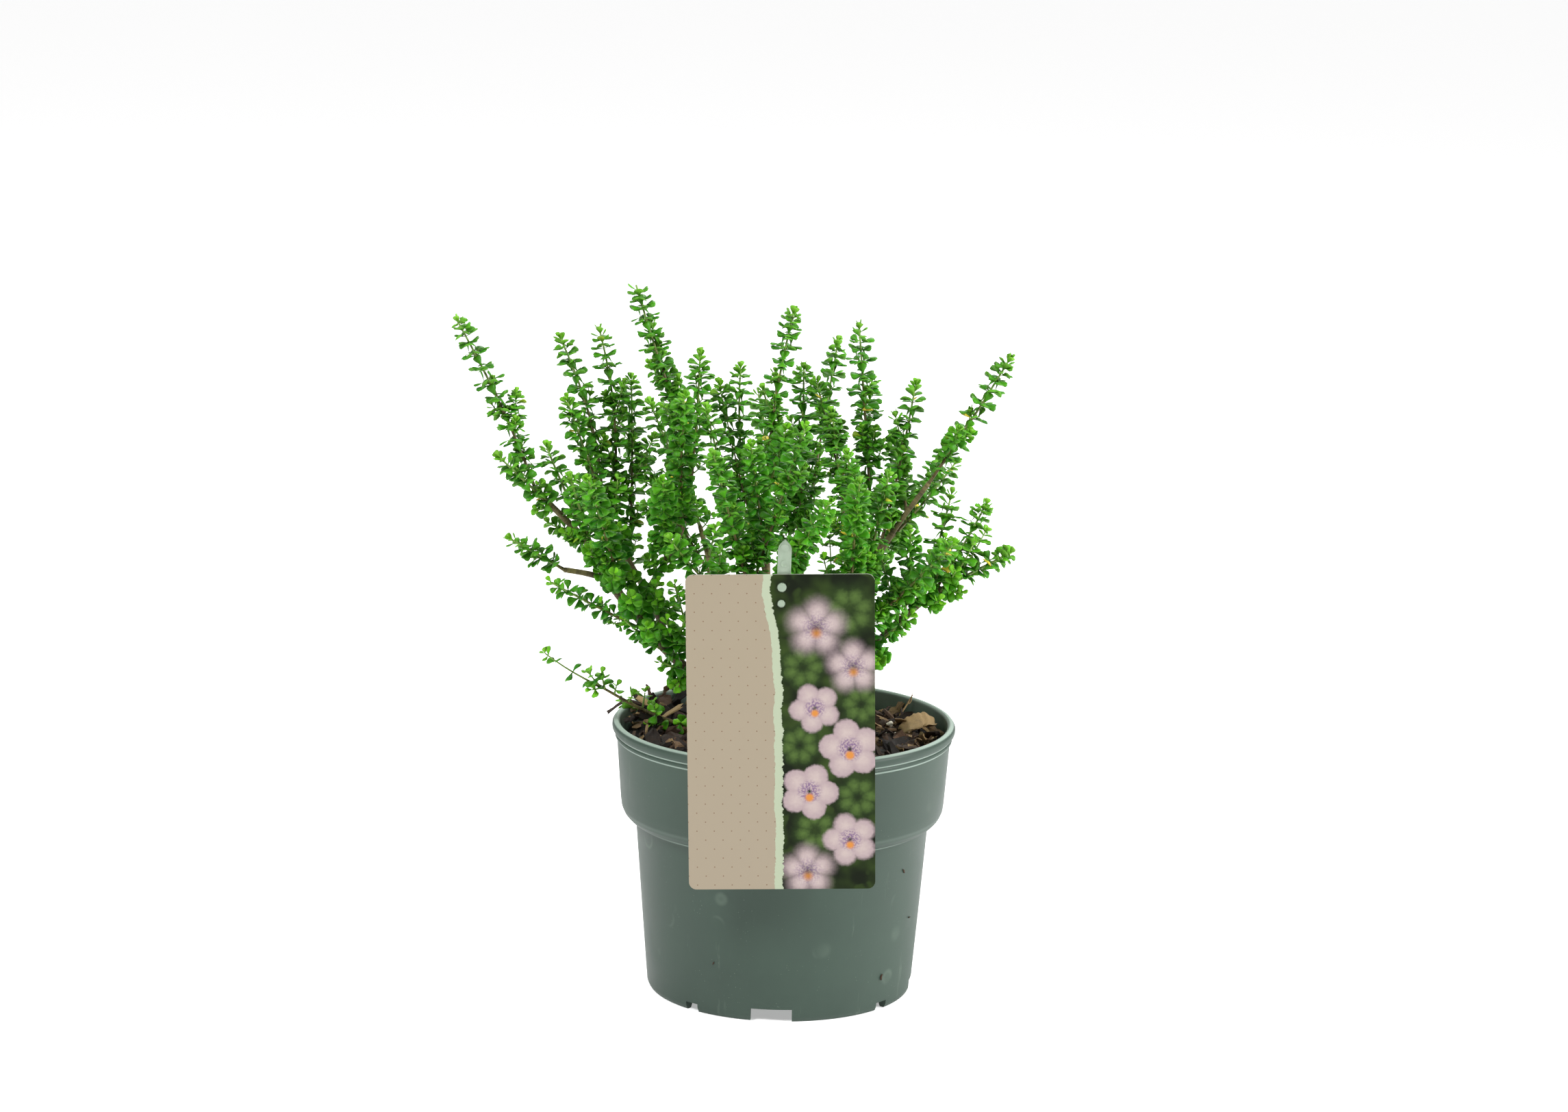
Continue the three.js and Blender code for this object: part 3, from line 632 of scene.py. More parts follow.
class Value:
    """A node's number, colour or vector, on which Python's operators add Math nodes."""

    def __init__(self, look: "Look", socket: bpy.types.NodeSocket) -> None:
        """Keeps the look whose nodes it is among, and the socket that it comes out of."""
        self.look = look
        self.socket = socket

    def __add__(self, other: "Value | float") -> "Value":
        """self + other."""
        return self.look.math("ADD", self, other)

    def __sub__(self, other: "Value | float") -> "Value":
        """self - other."""
        return self.look.math("SUBTRACT", self, other)

    def __rsub__(self, other: float) -> "Value":
        """other - self."""
        return self.look.math("SUBTRACT", other, self)

    def __mul__(self, other: "Value | float") -> "Value":
        """self × other."""
        return self.look.math("MULTIPLY", self, other)

    def __truediv__(self, other: "Value | float") -> "Value":
        """self ÷ other."""
        return self.look.math("DIVIDE", self, other)

    def __rtruediv__(self, other: float) -> "Value":
        """other ÷ self."""
        return self.look.math("DIVIDE", other, self)

    def __pow__(self, other: "Value | float") -> "Value":
        """self to the power of other."""
        return self.look.math("POWER", self, other)

    __radd__ = __add__
    __rmul__ = __mul__

    def over(self, edge: float, soft: float) -> "Value":
        """0 well under the edge and 1 well over it, with a smooth step soft wide on either side."""
        settings = {"interpolation_type": "SMOOTHSTEP"}
        inputs = {"Value": self, "From Min": edge - soft, "From Max": edge + soft}
        return self.look.node("MapRange", settings, inputs)

    def under(self, edge: float, soft: float) -> "Value":
        """1 well under the edge and 0 well over it."""
        return 1 - self.over(edge, soft)


class Look:
    """One material while its nodes are set."""

    def __init__(self, name: str, **constants: float | Colour) -> None:
        """Starts a material.

        Args:
            name: the material's name.
            constants: the shader's sockets that are the same all over, with _ for a space.
        """
        self.material = bpy.data.materials.new(name)
        self.material.use_nodes = True
        self.tree = self.material.node_tree
        self.shader = self.tree.nodes["Principled BSDF"]
        for socket, value in constants.items():
            self.shader.inputs[socket.replace("_", " ")].default_value = value

    def connect(self, socket: bpy.types.NodeSocket, value: "Value | float | Colour") -> None:
        """Links a value to a socket, or sets the socket's own number or colour."""
        if isinstance(value, Value):
            self.tree.links.new(value.socket, socket)
        else:
            socket.default_value = value

    def node(self, kind: str, settings: dict, inputs: dict, output: int | str = 0) -> Value:
        """Adds a node.

        Args:
            kind: its type without "ShaderNode".
            settings: its own properties, and "stops" for a ramp's places and colours.
            inputs: values or links by the socket's name or number.
            output: the socket that is returned.

        Returns:
            The value of that socket.
        """
        node = self.tree.nodes.new("ShaderNode" + kind)
        for key, value in settings.items():
            if key == "stops":
                ramp = node.color_ramp.elements
                while len(ramp) < len(value):
                    ramp.new(0.5)
                for element, (place, colour) in zip(ramp, value):
                    element.position = place
                    element.color = colour
            else:
                setattr(node, key, value)
        for key, value in inputs.items():
            self.connect(node.inputs[key], value)
        return Value(self, node.outputs[output])

    def math(self, operation: str, *values: Value | float) -> Value:
        """A Math node on the values."""
        return self.node("Math", {"operation": operation}, dict(enumerate(values)))

    def mix(self, share: Value | float, first: Value | Colour, second: Value | Colour) -> Value:
        """The colour first where share is 0 and second where it is 1."""
        return self.node("Mix", {"data_type": "RGBA"}, {0: share, 6: first, 7: second}, 2)

    def shade(self, colour: Value | Colour, factor: Value) -> Value:
        """The colour times a number."""
        grey = self.node("CombineColor", {}, {0: factor, 1: factor, 2: factor})
        settings = {"data_type": "RGBA", "blend_type": "MULTIPLY"}
        return self.node("Mix", settings, {0: 1.0, 6: colour, 7: grey}, 2)

    def place(self) -> Value:
        """The point on the piece, in metres in the shared frame."""
        return self.node("TexCoord", {}, {}, "Object")

    def stretched(self, x: float, y: float, z: float) -> Value:
        """The point with each of its coordinates multiplied."""
        return self.node("Mapping", {}, {"Vector": self.place(), "Scale": (x, y, z)})

    def split(self, vector: Value) -> list[Value]:
        """The three numbers of a vector."""
        node = self.node("SeparateXYZ", {}, {0: vector}).socket.node
        return [Value(self, node.outputs[i]) for i in range(3)]

    def tint(self) -> list[Value]:
        """The four numbers that the mesh keeps at each point."""
        colour = self.node("Attribute", {"attribute_name": "tint"}, {}, "Color")
        parts = self.node("SeparateColor", {}, {0: colour}).socket.node
        alpha = Value(self, colour.socket.node.outputs["Alpha"])
        return [*(Value(self, parts.outputs[i]) for i in range(3)), alpha]

    def noise(
        self, scale: float, detail: float = 3.0, rough: float = 0.5, at: Value | None = None
    ) -> Value:
        """Noise from 0 to 1 with this many features in a metre, on the piece's own point."""
        inputs = {"Vector": at or self.place(), "Scale": scale, "Detail": detail, "Roughness": rough}
        return self.node("TexNoise", {}, inputs)

    def cells(self, scale: float) -> Value:
        """Distance to the nearest of scattered points, of which this many fit in a metre."""
        return self.node("TexVoronoi", {"feature": "F1"}, {"Vector": self.place(), "Scale": scale})

    def finish(
        self, height: Value | None = None, depth: float = 0.0, **varying: Value
    ) -> bpy.types.Material:
        """Links what varies over the surface.

        Args:
            height: a relief from 0 to 1, or none.
            depth: how deep that relief is, in metres.
            varying: values by the shader's socket, with _ for a space.

        Returns:
            The material.
        """
        for socket, value in varying.items():
            self.connect(self.shader.inputs[socket.replace("_", " ")], value)
        if height is not None:
            inputs = {"Height": height, "Distance": depth, "Strength": 1.0}
            self.connect(self.shader.inputs["Normal"], self.node("Bump", {}, inputs))
        return self.material


@dataclass(frozen=True)
class PotPlastic:
    """Satin blue-grey-green moulded plastic, with dust, pale water rings and fine scuffs."""

    base: Colour = srgb(42, 60, 50)
    pale: Colour = srgb(60, 78, 67)
    dust: Colour = srgb(106, 122, 108)
    # The colour of the painted highlights along the rim and collar edges
    worn: Colour = srgb(158, 176, 164)
    # Painted light: the paler colour of the inner wall, where shade falls inside the pot
    inner: Colour = srgb(104, 122, 110)
    # Height, half width, strength and least radius of the painted highlights, pale lines along the edges
    edges: tuple[tuple[float, float, float, float], ...] = (
        (0.1471, 0.0007, 0.9, 0.0872),
        (0.1412, 0.0005, 0.7, 0.0895),
        (0.1381, 0.0005, 0.7, 0.0885),
        (0.0935, 0.0006, 0.45, 0.0782),
    )

    def make(self) -> bpy.types.Material:
        """Broad drift, rings round scattered points, stretched scuffs, fine grain and painted edge
        highlights.

        The inner wall is painted paler, as painted light where shade falls inside the pot, and each
        painted highlight is a pale line near its height, outside its least radius.
        """
        look = Look("pot_plastic", Specular_IOR_Level=0.4)
        drift = look.noise(14, 4, 0.6).over(0.52, 0.2)
        colour = look.mix(drift * 0.45, self.base, self.pale)
        spot = look.cells(34)
        ring = spot.over(0.16, 0.03) * spot.under(0.2, 0.03) * look.noise(22, 2).over(0.58, 0.04)
        blotch = spot.under(0.15, 0.06) * look.noise(17, 1).over(0.62, 0.05)
        scuffs = look.noise(90, 5, 0.7, look.stretched(1, 1, 0.12)).over(0.66, 0.05)
        speck = look.cells(420).under(0.1, 0.05) * look.noise(60, 2).over(0.55, 0.1)
        marks = ring * 0.3 + blotch * 0.16 + scuffs * 0.22 + speck * 0.4
        grain = look.noise(2600, 2)
        x, y, z = look.split(look.place())
        aside, ahead = x - float(POT_AXIS[0]), y - float(POT_AXIS[1])
        radius = look.math("SQRT", aside * aside + ahead * ahead)
        # Painted light: the inner wall above the soil is painted paler where it lies in shade
        inside = (radius - 0.075 * z).under(0.0789, 0.0003) * z.over(0.1, 0.003)
        # Painted highlights: a pale line along each edge, where light would catch the rim and the collar
        painted_highlight = sum(
            look.math("ABSOLUTE", z - height).under(half, half * 0.6)
            * radius.over(least, 0.0002)
            * strength
            for height, half, strength, least in self.edges
        )
        colour = look.mix(inside * 0.7, colour, self.inner)
        colour = look.mix(marks, colour, self.dust)
        return look.finish(
            height=grain * 0.5 + scuffs * 0.5,
            depth=0.00006,
            Base_Color=look.mix(painted_highlight, colour, self.worn),
            Roughness=0.46 + 0.12 * drift + 0.14 * marks,
        )


@dataclass(frozen=True)
class Mulch:
    """Damp dark compost with finer crumbs."""

    wet: Colour = srgb(8, 6, 4)
    dry: Colour = srgb(48, 36, 24)

    def make(self) -> bpy.types.Material:
        """Crumbs by two sizes of noise, paler where they stand proud."""
        look = Look("mulch")
        crumbs = look.noise(420, 6, 0.7)
        return look.finish(
            height=crumbs + look.cells(700) * 0.6,
            depth=0.0014,
            Base_Color=look.mix(crumbs.over(0.56, 0.16), self.wet, self.dry),
            Roughness=0.95 - 0.3 * crumbs.over(0.6, 0.1),
        )


@dataclass(frozen=True)
class Bark:
    """Rough bark; a piece's own tint runs from wet black-brown to dry tan."""

    name: str = "bark"
    wet: Colour = srgb(20, 14, 9)
    brown: Colour = srgb(88, 64, 44)
    tan: Colour = srgb(190, 160, 112)

    def make(self) -> bpy.types.Material:
        """Fibres stretched along the piece by its own length value, in light and dark streaks."""
        look = Look(self.name)
        age, along, aside, _ = look.tint()
        fibre_place = look.node("CombineXYZ", {}, {0: along * 0.012, 1: aside * 0.05, 2: age * 9.0})
        fibres = look.noise(260, 5, 0.65, fibre_place)
        stops = [(0.0, self.wet), (0.55, self.brown), (1.0, self.tan)]
        body = look.node("ValToRGB", {"stops": stops}, {0: age + 0.3 * (fibres - 0.5)})
        patch = look.noise(150, 4, 0.6).over(0.6, 0.12)
        return look.finish(
            height=fibres,
            depth=0.0007,
            Base_Color=look.shade(body, 0.55 + 0.9 * fibres - 0.25 * patch),
            Roughness=0.9 - 0.25 * patch,
        )


@dataclass(frozen=True)
class LimbBark:
    """Thin grey-brown bark with fine cracks, greener towards the young end."""

    old: Colour = srgb(92, 76, 62)
    dark: Colour = srgb(48, 36, 27)
    young: Colour = srgb(124, 116, 66)

    def make(self) -> bpy.types.Material:
        """Cracks by stretched noise, old to young by the stem's own value."""
        look = Look("limb_bark")
        youth, along, aside, _ = look.tint()
        flat = look.node("CombineXYZ", {}, {0: along * 0.35, 1: aside * 0.01, 2: 0.0})
        cracks = look.noise(700, 5, 0.7, flat)
        body = look.mix(youth, self.old, self.young)
        return look.finish(
            height=cracks,
            depth=0.0005,
            Base_Color=look.mix(cracks.under(0.46, 0.1) * 0.75, body, self.dark),
            Roughness=0.72 + 0.2 * cracks,
        )


@dataclass(frozen=True)
class GreenStem:
    """Green young stem, browner towards its foot."""

    foot: Colour = srgb(104, 88, 52)
    tip: Colour = srgb(116, 152, 62)

    def make(self) -> bpy.types.Material:
        """Foot to tip by the stem's own value, with fine flecks."""
        look = Look("green_stem", Roughness=0.5)
        youth, _, _, _ = look.tint()
        flecks = look.noise(900, 3)
        share = youth + 0.35 * (flecks - 0.5)
        colour = look.mix(share.over(0.5, 0.5), self.foot, self.tip)
        return look.finish(Base_Color=colour)


@dataclass(frozen=True)
class LeafFace:
    """One face of the small waxy leaves: darker when grown, lime at the shoot's tip."""

    name: str
    grown: Colour
    fresh: Colour
    rim: Colour
    yellow: Colour = srgb(206, 190, 62)
    gloss: float = 0.36

    def make(self) -> bpy.types.Material:
        """Youth, a chance per leaf, and the place across the leaf set the colour.

        The margin and the midrib are paler, some leaves are darker, and one in a hundred or so is
        yellow.
        """
        look = Look(self.name, Specular_IOR_Level=0.2)
        luck, youth, rim, along = look.tint()
        body = look.mix(youth, self.grown, self.fresh)
        edge = rim.over(0.82, 0.16) * 0.5
        midrib = rim.under(0.1, 0.1) * along.under(0.8, 0.2) * 0.35
        body = look.mix(edge + midrib, body, self.rim)
        mottle = look.noise(900, 3)
        body = look.shade(body, 0.62 + 0.5 * luck + 0.26 * mottle)
        old = luck.over(0.988, 0.001) * youth.under(0.3, 0.1)
        return look.finish(
            height=mottle,
            depth=0.00012,
            Base_Color=look.mix(old, body, self.yellow),
            Roughness=self.gloss + 0.16 * mottle,
        )


@dataclass(frozen=True)
class ClearStrip:
    """Pale grey-green plastic that lets some light through."""

    clear: Colour = srgb(144, 162, 140)
    cloudy: Colour = srgb(162, 178, 158)

    def make(self) -> bpy.types.Material:
        """Cloudy drift in clear plastic."""
        look = Look("stake_plastic", IOR=1.46, Transmission_Weight=0.2)
        drift = look.noise(160, 3).over(0.5, 0.2)
        colour = look.mix(drift, self.clear, self.cloudy)
        return look.finish(Base_Color=colour, Roughness=0.26 + 0.16 * drift)


class Motif(Enum):
    """What a bloom of the print is, by its number of lobes."""

    FLOWER = 5
    LEAVES = 7


@dataclass(frozen=True)
class Bloom:
    """A generic flower or leaf rosette of the label's print: place and size in mm, turn and blur."""

    right: float
    up: float
    size: float
    turn: float
    blur: float
    motif: Motif = Motif.FLOWER


@dataclass(frozen=True)
class CardPrint:
    """The label's print: a dotted pale panel, a torn mint strip and a dark green panel of flowers.

    It is a generic design, with no lettering or marks.
    """

    width: float = 97.0
    height: float = 169.2
    panel: Colour = srgb(148, 137, 118)
    panel_low: Colour = srgb(149, 138, 120)
    dot: Colour = srgb(110, 82, 62)
    strip: Colour = srgb(161, 171, 147)
    deep: Colour = srgb(12, 20, 5)
    moss: Colour = srgb(48, 66, 24)
    petal: Colour = srgb(180, 165, 160)
    petal_dark: Colour = srgb(136, 116, 126)
    throat: Colour = srgb(190, 124, 58)
    freckle: Colour = srgb(104, 76, 118)
    leaf: Colour = srgb(78, 102, 48)
    leaf_dark: Colour = srgb(32, 48, 18)
    # Gap between two dots of a row and between two rows, in mm
    dot_gaps: tuple[float, float] = (9.0, 4.9)
    blooms: tuple[Bloom, ...] = (
        Bloom(84, 150, 15, 0.2, 0.3, Motif.LEAVES),
        Bloom(60, 120, 13, 0.5, 0.14, Motif.LEAVES),
        Bloom(90, 100, 12, 0.1, 0.16, Motif.LEAVES),
        Bloom(58, 78, 12, 0.8, 0.1, Motif.LEAVES),
        Bloom(88, 50, 13, 0.4, 0.2, Motif.LEAVES),
        Bloom(66, 32, 13, 0.7, 0.24, Motif.LEAVES),
        Bloom(67, 141, 15, 0.3, 0.34),
        Bloom(86, 120, 14, 1.2, 0.3),
        Bloom(66, 98, 14, 0.9, 0.06),
        Bloom(84, 76, 17, 0.1, 0.03),
        Bloom(63, 53, 16, 0.55, 0.03),
        Bloom(84, 27, 15, 1.0, 0.08),
        Bloom(62, 10, 14, 0.2, 0.32),
    )

    def make(self) -> bpy.types.Material:
        """The three panels by the place on the card, then each flower over them."""
        look = Look("label_card", Specular_IOR_Level=0.1)
        u, v, _ = look.split(look.node("UVMap", {"uv_map": "print"}, {}))
        x = u * self.width
        y = v * self.height
        sway = look.noise(0.045, 1, 0.5, look.node("CombineXYZ", {}, {0: 3.7, 1: y, 2: 0.0}))
        jag = look.noise(0.4, 4, 0.7, look.node("CombineXYZ", {}, {0: 9.1, 1: y, 2: 0.0}))
        tear = look.noise(0.5, 5, 0.75, look.node("CombineXYZ", {}, {0: 1.3, 1: y, 2: 5.0}))
        middle = 47.2 + 4.0 * (sway - 0.5) - 5.6 * v.over(0.84, 0.12)
        left_edge = x - middle + 2.2 + 2.6 * (jag - 0.5)
        right_edge = x - middle - 2.0 - 4.4 * (tear - 0.5)
        colour = look.mix(v.over(0.45, 0.4), self.panel_low, self.panel)
        colour = look.mix(self.dots(look, x, y), colour, self.dot)
        picture = self.picture(look, x, y)
        colour = look.mix(left_edge.over(0, 0.12), colour, self.strip)
        colour = look.mix(right_edge.over(0, 0.1), colour, picture)
        return look.finish(Base_Color=colour, Roughness=0.4 + 0.08 * look.noise(500, 2))

    def dots(self, look: Look, x: Value, y: Value) -> Value:
        """Small dots in rows, each row shifted by half the gap between two dots."""
        gap, step = self.dot_gaps
        row = look.math("FLOOR", y / step)
        shift = gap / 2 * look.math("MODULO", row, 2.0)
        across_cell = look.math("FRACT", (x + shift) / gap) - 0.5
        up_cell = look.math("FRACT", y / step) - 0.5
        reach = (across_cell * gap) ** 2.0 + (up_cell * step) ** 2.0
        return reach.under(0.12, 0.07) * 0.8

    def picture(self, look: Look, x: Value, y: Value) -> Value:
        """Rosettes of leaves in the dark behind flowers with a speckled middle and an orange throat.

        A lobe is a disc round a point on its sector's middle line, half the bloom's size out.
        """
        spot = look.node("CombineXYZ", {}, {0: x, 1: y, 2: 0.0})
        blur = look.noise(0.05, 2, 0.5, spot)
        leafy = look.noise(0.11, 2, 0.4, look.node("CombineXYZ", {}, {0: y, 1: x, 2: 4.0}))
        colour = look.mix(blur.over(0.56, 0.16), self.deep, self.moss)
        colour = look.mix(leafy.over(0.6, 0.06) * 0.5, colour, self.moss)
        vein = look.noise(0.5, 3, 0.6, spot)
        patchy = look.noise(0.9, 2, 0.6, spot).over(0.5, 0.06)
        for bloom in self.blooms:
            lobes = bloom.motif.value
            aside = (x - bloom.right) / bloom.size
            rise = (y - bloom.up) / bloom.size
            reach = look.math("SQRT", aside * aside + rise * rise)
            sector = look.math("ARCTAN2", rise, aside) * (lobes / (2 * math.pi)) + bloom.turn
            angle = (look.math("FRACT", sector) - 0.5) * (2 * math.pi / lobes)
            along = reach * look.math("COSINE", angle) - 0.5
            beside = reach * look.math("SINE", angle) * 1.1
            lobe = look.math("SQRT", along * along + beside * beside) + 0.12 * (vein - 0.5)
            if bloom.motif is Motif.FLOWER:
                petal = look.mix(lobe.over(0.3, 0.3) * 0.6 + vein * 0.3, self.petal, self.petal_dark)
                ring = reach.under(0.34, 0.1 + bloom.blur) * patchy
                petal = look.mix(ring * 0.8, petal, self.freckle)
                low = look.math("SQRT", aside * aside + (rise + 0.2) * (rise + 0.2))
                petal = look.mix(low.under(0.13, 0.05 + bloom.blur * 0.3), petal, self.throat)
            else:
                petal = look.mix(lobe.over(0.25, 0.3) + vein * 0.4, self.leaf, self.leaf_dark)
            colour = look.mix(lobe.under(0.45, 0.02 + bloom.blur), colour, petal)
        return colour


def plain_look(name: str, colour: Colour, **constants: float) -> bpy.types.Material:
    """A finish whose brightness only drifts a little over the surface."""
    look = Look(name, **constants)
    drift = look.noise(600, 3)
    return look.finish(Base_Color=look.shade(colour, 0.9 + 0.2 * drift))


@dataclass
class Finishes:
    """All the materials of the piece."""

    pot: bpy.types.Material = field(default_factory=lambda: PotPlastic().make())
    mulch: bpy.types.Material = field(default_factory=lambda: Mulch().make())
    bark: bpy.types.Material = field(default_factory=lambda: Bark().make())
    limb: bpy.types.Material = field(default_factory=lambda: LimbBark().make())
    stem: bpy.types.Material = field(default_factory=lambda: GreenStem().make())
    leaf_top: bpy.types.Material = field(
        default_factory=lambda: LeafFace(
            "leaf_top", srgb(42, 118, 10), srgb(110, 178, 28), srgb(98, 156, 52)
        ).make()
    )
    leaf_under: bpy.types.Material = field(
        default_factory=lambda: LeafFace(
            "leaf_under", srgb(76, 138, 32), srgb(116, 174, 46), srgb(108, 156, 70), gloss=0.5
        ).make()
    )
    stake: bpy.types.Material = field(default_factory=lambda: ClearStrip().make())
    card: bpy.types.Material = field(default_factory=lambda: CardPrint().make())
    card_back: bpy.types.Material = field(
        default_factory=lambda: plain_look("card_back", srgb(204, 206, 196), Roughness=0.42)
    )
    perlite: bpy.types.Material = field(
        default_factory=lambda: plain_look("perlite", srgb(196, 192, 174), Roughness=0.9)
    )


# The pot and what fills it


def pot_inner_radius(z: Array) -> Array:
    """Radius of the pot's inner wall at a height, in mm, by straight lines between its rings."""
    return np.interp(z, [7, 94.5, 103, 138.6, POT_HEIGHT], [69.7, 76.9, 85.1, 87.7, 88.0])


@dataclass
class NurseryPot:
    """The moulded pot: a surface of revolution with notches in its foot and four drain holes."""

    sides: int = 144
    # Radius and height along the wall, from the underside out, up, over the bead and down inside
    wall: tuple[tuple[float, float], ...] = (
        (65.8, 5),
        (67.7, 0),
        (70.6, 0),
        (71.7, 2.4),
        (75.6, 50),
        (78.9, 92.2),
        (79.6, 92.7),
        (79.9, 93.4),
        (82.9, 94.5),
        (85.4, 97.2),
        (86.7, 100.2),
        (87.2, 104),
        (89.7, 137.8),
        (90.7, 138.3),
        (90.8, 139.8),
        (90.1, 140.5),
        (91.2, 141.2),
        (92.3, 143),
        (92.3, 145.2),
        (91.1, 146.9),
        (89.4, POT_HEIGHT),
        (88.0, 145.9),
        (87.7, 138.6),
        (85.1, 103),
        (76.9, 94.5),
        (69.7, 7),
    )
    notches: tuple[tuple[float, float, float], ...] = ((22, 7, -3), (8, 4.5, -40))
    foot: float = 69.3
    drain_radius: float = 5.0
    drain_ring: float = 42.0

    def block(self, width: float, height: float, angle: float) -> Skin:
        """A box that cuts a notch: a four-sided tube through the foot ring, at an angle in degrees."""
        turn = math.radians(angle)
        out = np.array([math.sin(turn), -math.cos(turn), 0.0])
        side = np.array([math.cos(turn), math.sin(turn), 0.0])
        corner = np.array([(-1, -1), (1, -1), (1, height), (-1, height)], float)
        corner[:, 0] *= width / 2
        ring = corner[:, :1] * side + corner[:, 1:] * UP
        skin = Skin()
        skin.add_closed(np.stack([ring + out * (self.foot - 6), ring + out * (self.foot + 6)]) * MM)
        return skin

    def drain(self, angle: float) -> Skin:
        """A round cutter through the floor."""
        profile = np.array([(self.drain_radius, 3.0), (self.drain_radius, 9.0)])
        aside = np.array([math.cos(angle), math.sin(angle), 0.0]) * self.drain_ring
        skin = Skin()
        skin.add_closed((revolved(profile, 24) + aside) * MM)
        return skin

    def build(self, finishes: Finishes) -> None:
        """Turns the wall, cuts it and puts it in the scene."""
        profile = rounded(np.array(self.wall, float), 0.6)
        skin = Skin()
        skin.add_closed(revolved(profile, self.sides) * MM)
        cutters = [
            self.block(width, height, angle + 90 * i)
            for width, height, angle in self.notches
            for i in range(4)
        ]
        cutters += [self.drain(math.pi * (0.25 + 0.5 * i)) for i in range(4)]
        mesh = carved(skin, cutters, "pot_wall", 35)
        put(mesh, "pot_wall", [finishes.pot], Slot.POT, "pot")


def soil_height(x: Array, y: Array) -> Array:
    """Height of the mulch in mm: a dish that rises as r² to its outer ring, with two sizes of lumps."""
    dip = SOIL_DISH * np.minimum(1, (x**2 + y**2) / SOIL_RING**2)
    lumps = 1.3 * np.sin(x / 6.1 + 0.8) * np.cos(y / 7.3 + 0.4) + 0.9 * np.sin((x + y) / 4.7)
    return SOIL_LEVEL + dip + lumps


@dataclass
class SoilFill:
    """The root ball and mulch that fills the pot, with a crumbly top."""

    sides: int = 160
    rows: int = 54
    # Radius and height up the side, where the pot hides it
    side: tuple[tuple[float, float], ...] = ((68.9, 7.3), (76.5, 94.2), (84.7, 103.3), (86.5, 130))

    def build(self, finishes: Finishes) -> None:
        """Rings up the side, then inwards over the top, whose heights come from soil_height."""
        top_radius = np.linspace(self.side[-1][0] - 0.6, 0.6, self.rows)
        top = np.stack([top_radius, np.full(self.rows, SOIL_LEVEL)], -1)
        points = revolved(np.vstack([np.array(self.side, float), top]), self.sides)
        face = points[len(self.side):]
        fine = ripple(face, 7, 3) + 0.5 * ripple(face, 3, 4)
        face[..., 2] = soil_height(face[..., 0], face[..., 1]) - 1.2 + 0.8 * fine
        skin = Skin()
        skin.add_closed(points * MM)
        put(skin.mesh("soil_fill"), "soil_fill", [finishes.mulch], Slot.SOIL, "soil")


@dataclass
class Flakes:
    """Bark flakes as whole arrays, one row each, in mm and radians."""

    middle: Array
    size: Array
    turn: Array
    pitch: Array
    roll: Array
    age: Array
    seed: int
    rows: int = 6
    around: int = 6
    ragged: float = 0.5

    def points(self) -> Array:
        """Rings along each flake, bent, tapered and ragged by chance.

        A ring's corner at angle t is (cos t × half the width, sin t × half the thickness), its width
        shrinks to the ends by chance, and the whole is bent and turned by roll, pitch and turn.

        Returns:
            (flakes, rows, around, 3) points in mm.
        """
        count = len(self.age)
        key = self.seed * 1000 + np.arange(count)[:, None, None] * 97.0
        row = np.arange(self.rows)[None, :, None]
        corner = np.arange(self.around)[None, None, :]
        along = row / (self.rows - 1)
        t = 2 * math.pi * (corner + 0.5) / self.around
        rough = 1 - self.ragged * chance(key + row * 7 + corner * 31)
        ends = 1 - 0.55 * np.abs(2 * along - 1) ** 3 * (0.4 + chance(key + 5))
        x = self.size[:, :1, None] * (along - 0.5 + 0.16 * (chance(key + corner * 11 + 3) - 0.5))
        y = self.size[:, 1:2, None] / 2 * np.cos(t) * 1.15 * rough * ends
        lift = self.size[:, 2:3, None] * np.sin(t) / 1.7
        bend = (chance(key + 9) - 0.4) * self.size[:, :1, None] * 0.35 * (2 * along - 1) ** 2
        cup = (chance(key + 15) - 0.4) * self.size[:, 1:2, None] * 0.3 * np.cos(t) ** 2
        wave = self.size[:, 2:3, None] * 0.5 * (chance(key + row * 19) - 0.5)
        z = lift + bend + cup + wave
        roll, pitch, turn = (a[:, None, None] for a in (self.roll, self.pitch, self.turn))
        y, z = y * np.cos(roll) - z * np.sin(roll), y * np.sin(roll) + z * np.cos(roll)
        x, z = x * np.cos(pitch) - z * np.sin(pitch), x * np.sin(pitch) + z * np.cos(pitch)
        x, y = x * np.cos(turn) - y * np.sin(turn), x * np.sin(turn) + y * np.cos(turn)
        x, y, z = np.broadcast_arrays(x, y, z)
        return np.stack([x, y, z], -1) + self.middle[:, None, None]

    def add_to(self, skin: Skin, points: Array) -> None:
        """Adds the flakes to a skin, with age, length, breadth and a chance as their values."""
        count, rows, around, _ = points.shape
        row = np.broadcast_to(np.arange(rows)[None, :, None], points.shape[:3])
        corner = np.broadcast_to(np.arange(around)[None, None, :], points.shape[:3])
        number = np.broadcast_to(np.arange(count)[:, None, None], points.shape[:3])
        age = np.broadcast_to(self.age[:, None, None], points.shape[:3])
        values = np.stack([age, row + 3.0 * number, corner * 1.0, chance(number)], -1)
        skin.add(points * MM, many_tubes(count, rows, around), [0, 0], values)


